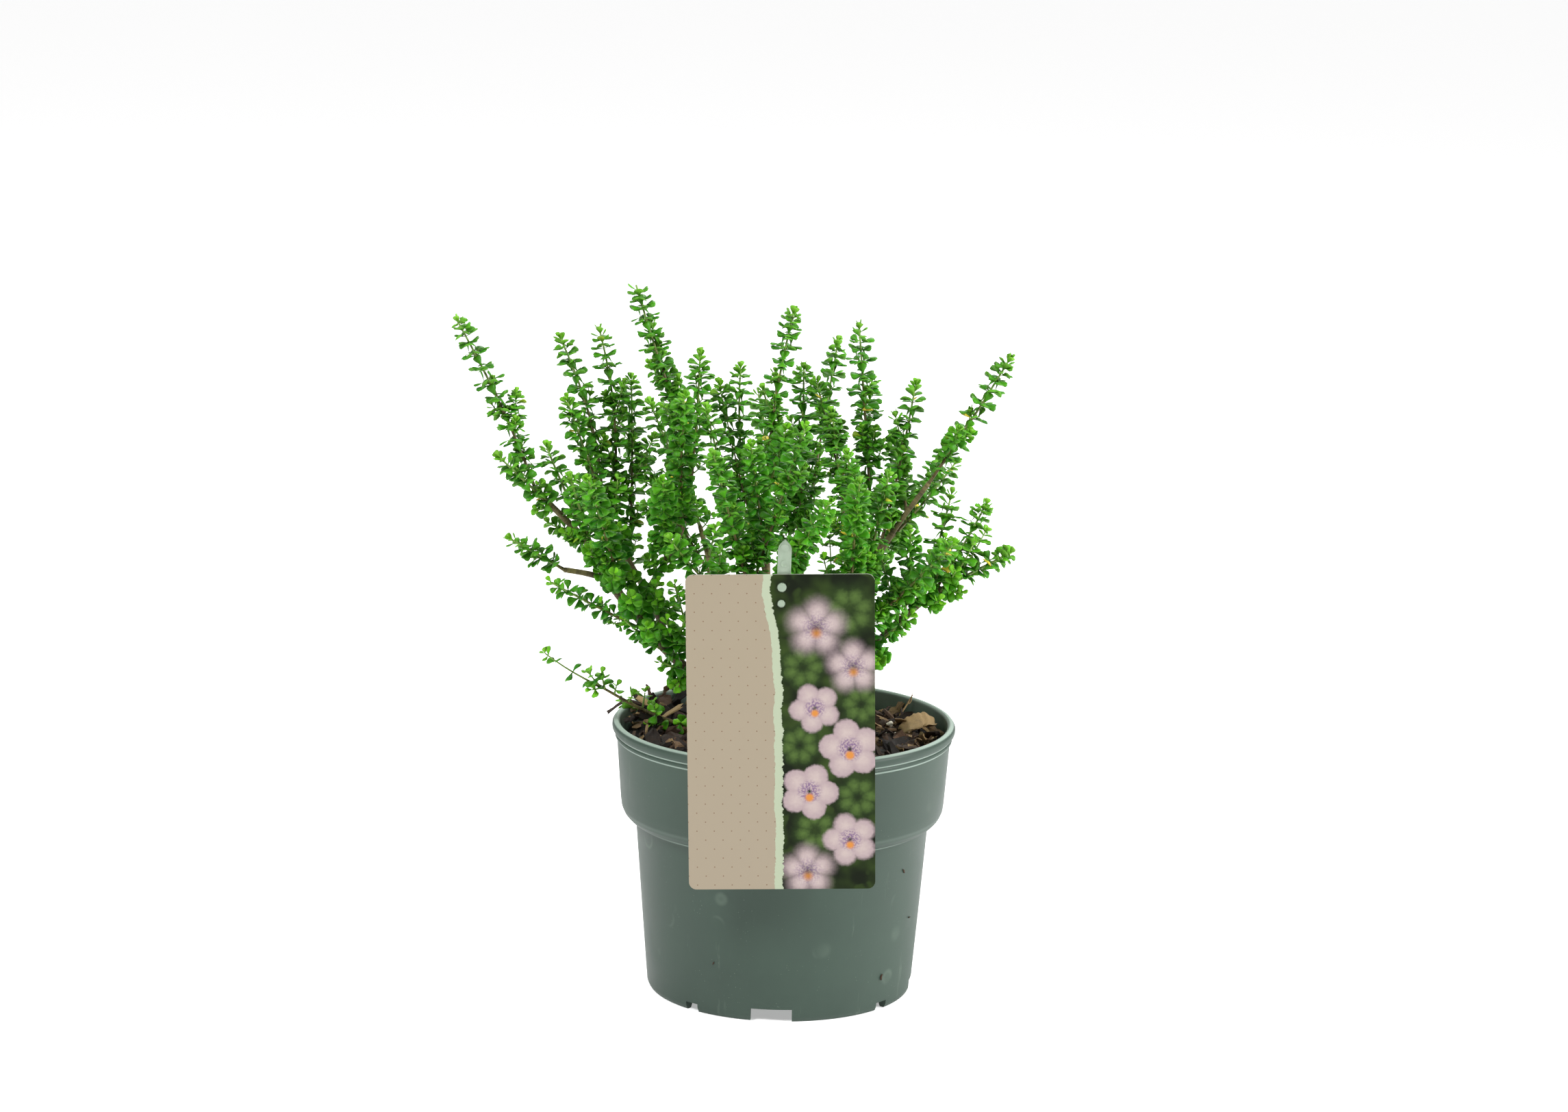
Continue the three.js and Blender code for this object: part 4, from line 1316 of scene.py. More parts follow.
@dataclass
class LooseBark:
    """The mulch's own flakes, scattered by chance and heaped up towards the back left wall."""

    count: int = 940
    reach: float = 85.0
    clear: float = 0.7
    # How high the heap is, in mm, and the angle from +X of its side of the pot, in radians
    heap: float = 15.0
    heap_side: float = 2.6
    # Least, span and power: a flake is least + span × chance^power long, in mm
    long: tuple[float, float, float] = (5.0, 18.0, 2.2)

    def build(self, finishes: Finishes) -> None:
        """Scatters the flakes over the soil and keeps them off the wall."""
        n = np.arange(self.count)
        r = self.reach * np.sqrt((n + 0.5) / self.count)
        t = n * GOLDEN_TURN + 0.5 * chance(n + 0.5)
        x, y = r * np.cos(t), r * np.sin(t)
        least, span, power = self.long
        long = least + span * chance(n + 1000) ** power
        wide = long * (0.22 + 0.5 * chance(n + 2000))
        thick = 0.5 + 1.4 * chance(n + 3000)
        rise = self.heap * np.clip(np.cos(t - self.heap_side), 0, 1) * (r / self.reach) ** 3
        lift = -0.6 + (3.6 + rise) * chance(n + 4000)
        z = soil_height(x, y) + lift
        flakes = Flakes(
            middle=np.stack([x, y, z], -1),
            size=np.stack([long, wide, thick], -1),
            turn=2 * math.pi * chance(n + 6000),
            pitch=1.3 * (chance(n + 7000) - 0.5),
            roll=1.7 * (chance(n + 8000) - 0.5),
            age=chance(n + 5000) ** 1.7,
            seed=3,
            ragged=0.62,
        )
        points = flakes.points()
        reach = np.hypot(points[..., 0], points[..., 1])
        room = pot_inner_radius(points[..., 2]) - self.clear
        points[..., :2] *= np.minimum(1, room / np.maximum(reach, 1))[..., None]
        skin = Skin()
        flakes.add_to(skin, points)
        put(skin.mesh("loose_bark", 24), "loose_bark", [finishes.bark], Slot.BARK)


@dataclass
class LargeFlake:
    """One of the larger bark pieces that the solids have too."""

    node: str
    place: tuple[float, float]
    turn: float
    size: tuple[float, float, float]
    lift: float
    age: float
    slot: Slot = Slot.BARK
    # How much it rises towards its back edge, in mm per mm, and how far its end hooks down, in mm
    tilt: float = 0.0
    hook: float = 0.0

    def build(self, finishes: Finishes, number: int) -> None:
        """A ragged slab whose far end is lifted by lift × u (2 - u), set at its solid's height."""
        low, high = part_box(self.node)
        flakes = Flakes(
            middle=np.array([[0.0, 0.0, 0.0]]),
            size=np.array([self.size]),
            turn=np.array([0.0]),
            pitch=np.array([0.0]),
            roll=np.array([0.0]),
            age=np.array([self.age]),
            seed=40 + number,
            rows=16,
            around=14,
            ragged=0.22,
        )
        points = flakes.points() * np.array([0.93, 0.93, 0.7])
        along = np.clip(points[..., 0] / self.size[0] + 0.5, 0, 1)
        points[..., 2] += self.lift * along * (2 - along) + self.tilt * points[..., 1]
        points[..., 2] -= self.hook * np.clip(along - 0.7, 0, 1) ** 2 / 0.09
        points[..., 2] += 0.5 * ripple(points, 9, number)
        turn = math.radians(self.turn)
        x = points[..., 0] * math.cos(turn) - points[..., 1] * math.sin(turn)
        y = points[..., 0] * math.sin(turn) + points[..., 1] * math.cos(turn)
        points = np.stack([x + self.place[0], y + self.place[1], points[..., 2]], -1)
        span = points[..., 2].max() - points[..., 2].min()
        room = (high.z - low.z) / MM + self.tilt * self.size[1]
        points[..., 2] = (points[..., 2] - points[..., 2].min()) * min(1, room / span) + low.z / MM
        skin = Skin()
        flakes.add_to(skin, points)
        name = self.node + "_flake"
        put(skin.mesh(name, 50), name, [finishes.bark], self.slot, self.node)


@dataclass
class Grit:
    """Pale perlite grains and crumbs in the mulch."""

    count: int = 52

    def build(self, finishes: Finishes) -> None:
        """Small lumpy balls of four rings, scattered by chance."""
        n = np.arange(self.count)
        r = 80 * np.sqrt(chance(n + 50))
        t = 2 * math.pi * chance(n + 150)
        x, y = r * np.cos(t), r * np.sin(t)
        centre = np.stack([x, y, soil_height(x, y) + 1.6 + 1.8 * chance(n + 250)], -1)
        size = 0.6 + 1.7 * chance(n + 350) ** 2.5
        lat = np.linspace(-1.25, 1.25, 5)
        lon = np.arange(6) * math.pi / 3
        ball = np.stack(
            np.broadcast_arrays(
                np.cos(lat)[:, None] * np.cos(lon),
                np.cos(lat)[:, None] * np.sin(lon),
                0.75 * np.sin(lat)[:, None],
            ),
            -1,
        )
        lumpy = 0.6 + 0.8 * chance(n[:, None, None] * 40 + np.arange(30).reshape(5, 6))
        points = centre[:, None, None] + ball * (size[:, None, None] * lumpy)[..., None]
        skin = Skin()
        skin.add(points * MM, many_tubes(self.count, 5, 6), [0, 0])
        put(skin.mesh("perlite_grains", 50), "perlite_grains", [finishes.perlite], Slot.PALE_BARK)


@dataclass
class DryTwig:
    """The thin dry twig that leans on the pot's back wall, with a short side twig."""

    stem: tuple[tuple[float, float, float], ...] = (
        (61.5, 47, 134),
        (64, 48, 139),
        (67.2, 49.5, 144),
        (70.5, 50.5, 149.8),
    )
    side: tuple[tuple[float, float, float], ...] = (
        (67.4, 49.6, 144.4),
        (69.6, 49.6, 146.2),
        (70.2, 50, 151),
    )

    def build(self, finishes: Finishes) -> None:
        """Two thin tapered tubes."""
        skin = Skin()
        for points, radii in ((self.stem, (0.75, 0.3)), (self.side, (0.4, 0.2))):
            line = Route(np.array(points, float) * MM)
            share = np.linspace(0, 1, 16)
            radius = np.linspace(*radii, 16) * MM * (0.85 + 0.3 * chance(np.arange(16)))
            values = np.stack([np.full(16, 0.85), share * 6, share, share], -1)
            add_tubes(skin, line.at(share)[None], radius[None], 7, 0, values[None])
        put(skin.mesh("dry_twig", 60), "dry_twig", [finishes.bark], Slot.PALE_BARK)


@dataclass
class ClingingCrumbs:
    """A few crumbs of soil that cling to the pot's outside: angle in degrees, height and length."""

    crumbs: tuple[tuple[float, float, float], ...] = (
        (-42, 19, 3.2),
        (-33, 76, 2.6),
        (-24, 47, 1.6),
        (-118, 30, 1.8),
    )

    def build(self, finishes: Finishes) -> None:
        """Small flakes laid flat on the wall."""
        angle, height, long = np.radians(np.array(self.crumbs)[:, 0]), *np.array(self.crumbs)[:, 1:].T
        radius = np.interp(height, [2.4, 92.2], [71.7, 78.9]) + 0.35
        count = len(long)
        flakes = Flakes(
            middle=np.zeros((count, 3)),
            size=np.stack([long, long * 0.45, np.full(count, 0.7)], -1),
            turn=1.2 + np.arange(count) * 1.0,
            pitch=np.zeros(count),
            roll=np.zeros(count),
            age=np.full(count, 0.45),
            seed=9,
            rows=4,
        )
        flat = flakes.points()
        out = np.stack([np.cos(angle), np.sin(angle), 0 * angle], -1)[:, None, None]
        side = np.stack([-np.sin(angle), np.cos(angle), 0 * angle], -1)[:, None, None]
        centre = out * radius[:, None, None, None] + UP * height[:, None, None, None]
        points = centre + flat[..., :1] * side + flat[..., 1:2] * UP + flat[..., 2:] * out
        skin = Skin()
        flakes.add_to(skin, points)
        put(skin.mesh("clinging_crumbs", 60), "clinging_crumbs", [finishes.bark], Slot.BARK)


# The bush


@dataclass
class Leaves:
    """Leaves as whole arrays, one row each, in metres."""

    root: Array
    out: Array
    over: Array
    length: Array
    youth: Array
    key: Array

    @staticmethod
    def joined(parts: Sequence["Leaves"]) -> "Leaves":
        """All the leaves of several sets."""
        names = ("root", "out", "over", "length", "youth", "key")
        return Leaves(*(np.concatenate([getattr(part, name) for part in parts]) for name in names))


@dataclass(frozen=True)
class LeafForm:
    """A wedge-shaped thick leaf with a blunt, slightly notched end and rolled margins."""

    # Share of the length and of the half width of each row, from the root
    along: tuple[float, ...] = (0.0, 0.3, 0.62, 0.87, 1.0)
    half: tuple[float, ...] = (0.12, 0.36, 0.88, 1.0, 0.54)
    # Place across the leaf and height of each corner of a row, over the top and back underneath
    aside: tuple[float, ...] = (-1.0, -0.42, 0.42, 1.0, 0.0)
    rise: tuple[float, ...] = (-0.2, 0.03, 0.03, -0.2, -0.17)
    breadth: tuple[float, float] = (0.7, 0.9)
    # How far the tip and the row before it are cut back in the middle
    notch: tuple[float, ...] = (0.0, 0.0, 0.0, 0.012, 0.05)

    def points(self, leaves: Leaves) -> Array:
        """Rows of five corners.

        A corner is root + length × (u out + v side + w over), with v the place across times half
        the breadth, and w its rise, plus a bend that grows with u² and a fold with |v|.

        Args:
            leaves: the leaves.

        Returns:
            (leaves, rows, 5, 3) points.
        """
        u = np.array(self.along)[:, None] - np.array(self.notch)[:, None] * (np.abs(self.aside) < 1)
        v = np.array(self.half)[:, None] * np.array(self.aside)
        w = np.array(self.half)[:, None] * np.array(self.rise)
        luck = chance(leaves.key + 11)[:, None, None]
        youth = leaves.youth[:, None, None]
        breadth = self.breadth[0] + (self.breadth[1] - self.breadth[0]) * luck - 0.08 * youth
        bend = 0.36 * (chance(leaves.key + 17)[:, None, None] - 0.85) + 0.3 * youth
        fold = 0.3 * (chance(leaves.key + 23)[:, None, None] - 0.3) + 0.25 * youth
        lift = w * breadth * (1 - 0.5 * youth) + bend * u**2 + fold * 0.5 * np.abs(v) * breadth
        side = np.cross(leaves.over, leaves.out)
        size = leaves.length[:, None, None, None]
        step = u[None, ..., None] * leaves.out[:, None, None]
        step = step + (v * breadth / 2)[..., None] * side[:, None, None]
        step = step + lift[..., None] * leaves.over[:, None, None]
        return leaves.root[:, None, None] + size * step

    def add_to(self, skin: Skin, leaves: Leaves, top: int, under: int) -> None:
        """Adds leaves to a skin.

        Args:
            skin: the skin.
            leaves: the leaves.
            top: number of the upper face's material.
            under: number of the lower face's material.
        """
        points = self.points(leaves)
        count, rows, around = points.shape[:3]
        stride = rows * around
        quads = ring_faces(rows, around)[:, ::-1]
        finish = np.tile(np.where(np.arange(around) < around - 2, top, under), rows - 1)
        rim = np.abs(np.array(self.aside)) * np.ones((rows, 1))
        along = np.array(self.along)[:, None] * np.ones((1, around))
        luck = chance(leaves.key + 29)[:, None, None]
        values = np.stack(np.broadcast_arrays(luck, leaves.youth[:, None, None], rim, along), -1)
        faces = [
            repeated(quads, count, stride),
            repeated(end_faces(rows, around)[:, ::-1], count, stride),
        ]
        skin.add(points, faces, [np.tile(finish, count), under], values)


@dataclass(frozen=True)
class Foliage:
    """The rule by which leaves stand on a stem: crossed pairs, with tufts in their axils."""

    length: float = 7.6
    bud: float = 0.5
    # Gap between the first two pairs below the tip, how many times each next one is, and the widest
    first_gap: float = 0.95
    gap_growth: float = 1.36
    full_gap: float = 8.4
    # Depth below the tip, in mm, over which leaves grow to full size and spread
    ripening: float = 5.5
    spread: tuple[float, float] = (24.0, 76.0)
    # Depth below the tip where tufts start, and the depth that adds each pair of leaves to them
    tuft_start: float = 4.0
    tuft_pace: float = 9.0
    tuft_most: int = 2
    tuft_lean: float = 52.0

    def blades(
        self,
        root: Array,
        run: Array,
        aside: Array,
        length: Array,
        spread: Array,
        youth: Array,
        key: Array,
    ) -> Leaves:
        """Leaves that leave a stem sideways.

        A leaf points along cos(spread) run + sin(spread) aside, a little raised, and its upper face
        looks along the run, turned towards the light and by chance.

        Args:
            root: places on the stem.
            run: the stem's unit directions.
            aside: unit directions square to them.
            length: leaf lengths.
            spread: angles from the run, in radians.
            youth: 1 at the tip, 0 where grown.
            key: seeds.

        Returns:
            The leaves, flattened.
        """
        shape = key.shape
        spread = spread + 0.3 * (chance(key + 1) - 0.5)
        out = np.cos(spread)[..., None] * run + np.sin(spread)[..., None] * aside
        out = unit((out + 0.1 * UP) * (1 - 0.3 * UP * (1 - youth[..., None])))
        over = unit(np.cross(out, np.cross(run, out)))
        over = over + 0.7 * UP + 0.5 * (np.stack([chance(key + i) for i in (5, 6, 7)], -1) - 0.5)
        over = unit(over - (over * out).sum(-1, keepdims=True) * out)
        flat = (-1, 3)
        return Leaves(
            np.broadcast_to(root, (*shape, 3)).reshape(flat),
            out.reshape(flat),
            over.reshape(flat),
            (np.broadcast_to(length, shape) * (0.86 + 0.28 * chance(key + 2))).reshape(-1),
            np.broadcast_to(youth, shape).reshape(-1),
            key.reshape(-1),
        )

    def on_stem(self, line: Line, bare: float, seed: int, vigour: float = 1.0) -> tuple[Leaves, Array]:
        """Leaves of one stem.

        Args:
            line: the stem's line.
            bare: share of the line, from its foot, that carries none.
            seed: seeds the leaves.
            vigour: scales the leaves and the tufts.

        Returns:
            The leaves, and (tufts, 2, 3) ends of the tufts' own stems.
        """
        size = line.length() / MM
        gaps = np.minimum(self.first_gap * self.gap_growth ** np.arange(60), self.full_gap)
        depth = self.bud + np.cumsum(gaps) - gaps[0]
        depth = depth[depth < size * (1 - bare)]
        share = 1 - depth / size
        n = np.arange(len(depth))
        key = (seed * 131.0 + n * 17.0)[:, None] + np.array([0.0, 5000.0])
        centre, run = line.at(share), line.run(share)
        first, second = across(run)
        grown = 1 - np.exp(-depth / self.ripening)
        turn = seed * 2.1 + n * math.pi / 2 + 0.4 * (chance(key[:, 0]) - 0.5)
        turn = turn[:, None] + np.array([0.0, math.pi])
        aside = np.cos(turn)[..., None] * first[:, None] + np.sin(turn)[..., None] * second[:, None]
        length = self.length * MM * vigour * (0.52 + 0.48 * grown)
        low, high = np.radians(self.spread)
        spread = low + (high - low) * grown
        youth = (1 - grown)[:, None]
        place, heading, leaf_size, angle = (a[:, None] for a in (centre, run, length, spread))
        sets = [self.blades(place, heading, aside, leaf_size, angle, youth, key)]
        stems = np.zeros((0, 2, 3))
        pairs = np.floor((depth - self.tuft_start) / self.tuft_pace + 0.6 + 0.6 * chance(key[:, 0] + 3))
        pairs = np.clip(pairs, 0, round(self.tuft_most * vigour))
        lean = math.radians(self.tuft_lean)
        if len(depth) and pairs.max() > 0:
            k = np.arange(int(pairs.max()))
            arm = unit(math.cos(lean) * run[:, None] + math.sin(lean) * aside + 0.15 * UP)
            level = (1.5 + 2.1 * k) * MM
            root = centre[:, None, None] + arm[:, :, None] * level[:, None]
            tangent = unit(np.cross(run[:, None], aside))
            normal = np.cross(arm, tangent)
            even = (k % 2 == 0)[:, None]
            cross = np.where(even, tangent[:, :, None], normal[:, :, None])
            cross = cross[:, :, :, None] * np.array([1.0, -1.0])[:, None]
            keys = key[..., None, None] + k[:, None] * 301.0 + np.array([70.0, 140.0]) + 900.0
            leaf = length[:, None, None, None] * (0.88 - 0.1 * k)[:, None]
            opened = np.radians(66.0 - 13.0 * k)[:, None]
            youth = 0.12 + 0.1 * k[:, None] + 0.6 * (1 - grown)[:, None, None, None]
            youth = np.broadcast_to(youth, keys.shape)
            mask = np.broadcast_to((k < pairs[:, None])[:, None, :, None], keys.shape).reshape(-1)
            arms = arm[:, :, None, None]
            tuft = self.blades(root[..., None, :], arms, cross, leaf, opened, youth, keys)
            sets.append(Leaves(*(getattr(tuft, name)[mask] for name in tuft.__dataclass_fields__)))
            long = pairs > 1
            reach = (1.5 + 2.1 * (pairs - 0.6))[:, None, None] * MM
            ends = np.stack(np.broadcast_arrays(centre[:, None], centre[:, None] + arm * reach), 2)
            stems = ends[long].reshape(-1, 2, 3)
        return Leaves.joined(sets), stems


@dataclass
class LeafyShoot:
    """One leafy shoot: its green stem, its side sprigs and their leaves."""

    name: str
    number: int
    line: Line
    woody: float
    side: list[Line]
    foliage: Foliage = Foliage()
    form: LeafForm = LeafForm()
    radius: tuple[float, float] = (0.85, 0.5)
    sprig_radius: tuple[float, float] = (0.55, 0.32)
    sprig_gap: float = 14.0
    sprig_start: float = 36.0

    def seeded_sprigs(self) -> list[Line]:
        """Short side sprigs, by chance round all sides, longer towards the shoot's foot.

        The first ones are those of the solids. The others leave the stem every sprig_gap below
        sprig_start from the tip, lean out by about 40 degrees and turn up.

        Returns:
            Their lines.
        """
        made = []
        length = self.line.length()
        count = math.floor(length / (95 * MM))
        for k in range(count):
            seed = 1000 + self.number * 31 + k * 7
            at = 0.24 + 0.5 * (k + chance(seed)) / count
            start, run = self.line.at(at), self.line.run(at)
            first, second = across(run)
            turn = 2.4 * (k + 3 * self.number) + chance(seed + 1)
            out = first * math.cos(turn) + second * math.sin(turn)
            heading = unit(run * 0.8 + out * 0.5 + 0.35 * UP)
            tip = start + heading * (22 + 14 * chance(seed + 2)) * (1.1 - 0.6 * at) * MM
            made.append(Line(np.stack([start, (start + tip) / 2, tip])))
        depth = np.arange(self.sprig_start, length * (1 - self.woody) / MM, self.sprig_gap)
        for k, below in enumerate(depth):
            seed = 7000 + self.number * 53 + k * 11
            at = 1 - (below + 5 * chance(seed)) * MM / length
            if at < self.woody:
                continue
            start, run = self.line.at(at), self.line.run(at)
            first, second = across(run)
            turn = GOLDEN_TURN * k + self.number * 1.3 + 0.8 * chance(seed + 1)
            out = first * math.cos(turn) + second * math.sin(turn)
            reach = min(24.0, 6 + 0.2 * (below - self.sprig_start)) * (0.7 + 0.6 * chance(seed + 2)) * MM
            middle = start + unit(run * 0.7 + out * 0.75) * reach * 0.55
            tip = middle + unit(run + out * 0.3 + 0.35 * UP) * reach * 0.5
            made.append(Line(np.stack([start, middle, tip])))
        return made

    def stem(self, skin: Skin, line: Line, start: float, radii: tuple[float, float], sides: int) -> None:
        """Adds a stem's tube from a share of its line to just under its tip."""
        size = line.length()
        rows = max(4, round(size / (6 * MM)))
        share = np.linspace(start, 1 - 0.5 * MM / size, rows)
        radius = np.linspace(*radii, rows) * MM
        youth = np.clip(1 - (1 - share) * size / (60 * MM), 0, 1)
        values = np.stack([youth, share, share, share], -1)
        add_tubes(skin, line.at(share)[None], radius[None], sides, 2, values[None])

    def build(self, finishes: Finishes) -> int:
        """Puts the shoot in the scene and returns how many leaves it has."""
        skin = Skin()
        self.stem(skin, self.line, self.woody, self.radius, 7)
        sets = []
        leaves, stems = self.foliage.on_stem(self.line, max(self.woody + 0.02, 0.1), self.number)
        sets.append(leaves)
        tufts = [stems]
        for k, sprig in enumerate([*self.side, *self.seeded_sprigs()]):
            self.stem(skin, sprig, 0, self.sprig_radius, 5)
            long = sprig.length() > 30 * MM
            leaves, stems = self.foliage.on_stem(
                sprig, 0.12, 200 + self.number * 40 + k, 1.0 if long else 0.86
            )
            sets.append(leaves)
            tufts.append(stems)
        ends = np.concatenate(tufts)
        if len(ends):
            radii = np.tile(np.array([0.34, 0.24]) * MM, (len(ends), 1))
            add_tubes(skin, ends, radii, 4, 2, np.full((len(ends), 2, 4), 0.7))
        whole = Leaves.joined(sets)
        inside = self.inside(self.form.points(whole))
        whole = Leaves(*(getattr(whole, name)[inside] for name in whole.__dataclass_fields__))
        self.form.add_to(skin, whole, 0, 1)
        name = self.name.replace("_shoot_", "_leaves_")
        looks = [finishes.leaf_top, finishes.leaf_under, finishes.stem]
        put(skin.mesh(name), name, looks, Slot.LEAF, self.name)
        return len(whole.key)

    def inside(self, points: Array) -> Array:
        """True for each leaf that lies wholly in the box of the solids."""
        low, high = np.array(CAD_BOX) - POT_AXIS
        return ((points > low) & (points < high)).all(axis=(1, 2, 3))


@dataclass
class Bush:
    """The woody frame and all the leafy shoots on it."""

    sides: int = 12
    stub: tuple[float, float] = (1.05, 0.85)
    # Shoots with a lower tip than this, in mm, are in the shade and carry few leaves
    shade: float = 235.0
    # The rules for the leaves in the shade and straight on the limbs, and for those of the creeping limb
    sparse: Foliage = Foliage(length=6.8, first_gap=1.2, gap_growth=1.7, spread=(48, 84), tuft_most=1)
    clover: Foliage = Foliage(
        length=7, bud=0.3, first_gap=1.1, gap_growth=2.2, full_gap=12, spread=(62, 86), tuft_most=0
    )
    # The creeping shoot's radii, and how far below its tip its own sprigs start, in mm
    creeping_radius: tuple[float, float] = (0.6, 0.35)
    creeping_sprigs: float = 60.0
    # Sprigs straight on the limbs: how far from a limb's foot they start, in mm, for the creeping one
    # and the others, the step between them, and the share of the steps that carry one
    creeping_start: float = 30.0
    sprig_start: float = 22.0
    sprig_step: float = 8.5
    sprig_share: float = 0.5

    def woody_share(self, line: Line, limb: str, at: float) -> float:
        """How far along its line a shoot is woody: until it is clear of its limb.

        Args:
            line: the shoot's line.
            limb: the limb's name.
            at: where on the limb it starts.

        Returns:
            The share of the line.
        """
        cosine = float(line.run(0.0) @ limb_line(limb).run(at))
        angle = math.acos(min(1.0, max(-1.0, cosine)))
        thick, thin = LIMBS[limb][0]
        needed = (thick + (thin - thick) * at + 1.5 + 0.8) / max(math.sin(angle), 0.25)
        return (4 if at == 1 else min(needed, 22)) * MM / line.length()

    def plan(self) -> list[LeafyShoot]:
        """All the shoots with their lines worked out, named as their solids are."""
        counts: dict[str, int] = {}
        shoots = []
        for number, (limb, at, tip, side) in enumerate(SHOOTS):
            counts[limb] = counts.get(limb, 0) + 1
            start, end = limb_line(limb).at(at), np.array(tip, float) * MM
            line = shoot_line(start, end, number, BOWS.get(number, 0.0))
            branches = [
                shoot_line(line.at(share), np.array(end, float) * MM, 100 + number * 5 + k)
                for k, (share, end) in enumerate(side)
            ]
            woody = self.woody_share(line, limb, at)
            shoot = LeafyShoot(f"{limb}_shoot_{counts[limb]}", number, line, woody, branches)
            if tip[2] < self.shade:
                shoot.foliage = self.sparse
            if limb == "creeping":
                shoot.foliage = self.clover
                shoot.radius = self.creeping_radius
                shoot.sprig_start = self.creeping_sprigs
            shoots.append(shoot)
        return shoots

    def build_wood(self, finishes: Finishes, shoots: Sequence[LeafyShoot]) -> None:
        """Knobbly tubes along the limbs, and the woody foot of each shoot."""
        skin = Skin()
        for number, (name, (radii, _)) in enumerate(LIMBS.items()):
            line = limb_line(name)
            rows = max(10, round(line.length() / (2.5 * MM)))
            share = np.linspace(0, 1, rows)
            centres = line.at(share)
            bumps = 1 + 0.07 * ripple(centres, 0.009, number)
            bumps = bumps + 0.05 * ripple(centres, 0.004, number + 30)
            flutes = 1 + 0.05 * np.sin(np.arange(self.sides) * 4 * math.pi / self.sides + number)
            radius = np.linspace(*radii, rows) * bumps * MM
            youth = np.clip(1.1 * share - 0.35 + 0.25 * (radii[0] < 2), 0, 0.8)
            length = line.length() * share
            values = np.stack([youth, length, share, share], -1)
            fluted = (radius[:, None] * flutes)[None]
            add_tubes(skin, centres[None], fluted, self.sides, 0, values[None])
        for shoot in shoots:
            share = np.linspace(0, shoot.woody + 0.3 * MM / shoot.line.length(), 5)
            values = np.stack([np.full(5, 0.7), share, share, share], -1)
            radius = np.linspace(*self.stub, 5) * MM
            add_tubes(skin, shoot.line.at(share)[None], radius[None], 8, 0, values[None])
        put(skin.mesh("woody_frame"), "woody_frame", [finishes.limb], Slot.WOOD, "trunk_and_limbs")

    def build_limb_leaves(self, finishes: Finishes) -> int:
        """Sprigs of rounder leaves straight on the limbs, by chance; returns the leaf count."""
        skin = Skin()
        helper = LeafyShoot("limb", 90, limb_line("trunk"), 0, [])
        broad = LeafForm(breadth=(0.84, 1.04), half=(0.13, 0.5, 1.0, 0.92, 0.46))
        sets = []
        for number, name in enumerate(LIMBS):
            if name == "trunk":
                continue
            line = limb_line(name)
            length = line.length() / MM
            start = self.creeping_start if name == "creeping" else self.sprig_start
            for k, spot in enumerate(np.arange(start, length, self.sprig_step)):
                seed = 9000 + number * 71 + k * 13
                if chance(seed) > self.sprig_share:
                    continue
                at = min(1.0, (spot + 5 * chance(seed + 1)) / length)
                place, run = line.at(at), line.run(at)
                first, second = across(run)
                turn = GOLDEN_TURN * k + number
                out = first * math.cos(turn) + second * math.sin(turn)
                reach = (5 + 11 * chance(seed + 2)) * MM
                middle = place + unit(out + 0.4 * run) * reach * 0.5
                tip = middle + unit(out * 0.5 + 0.5 * run + 0.5 * UP) * reach * 0.5
                sprig = Line(np.stack([place, middle, tip]))
                helper.stem(skin, sprig, 0, (0.45, 0.3), 5)
                kind = self.clover if name == "creeping" else self.sparse
                sets.append(kind.on_stem(sprig, 0.3, 3000 + number * 60 + k)[0])
        for number, (name, at, tip) in enumerate(TWIGS):
            start, end = limb_line(name).at(at), np.array(tip, float) * MM
            middle = (start + end) / 2 - 0.1 * np.linalg.norm(end - start) * UP
            twig = Line(np.stack([start, middle, end]))
            helper.stem(skin, twig, 0, (0.6, 0.35), 6)
            kind = self.clover if name == "creeping" else self.sparse
            sets.append(kind.on_stem(twig, 0.22, 5000 + number)[0])
        whole = Leaves.joined(sets)
        broad.add_to(skin, whole, 0, 1)
        looks = [finishes.leaf_top, finishes.leaf_under, finishes.stem]
        put(skin.mesh("limb_leaves"), "limb_leaves", looks, Slot.LEAF)
        return len(whole.key)

    def build(self, finishes: Finishes) -> None:
        """The frame, the leaves on it and every shoot."""
        shoots = self.plan()
        self.build_wood(finishes, shoots)
        total = self.build_limb_leaves(finishes)
        total += sum(shoot.build(finishes) for shoot in shoots)
        log.info("leaves: %d", total)


# The label and its stake


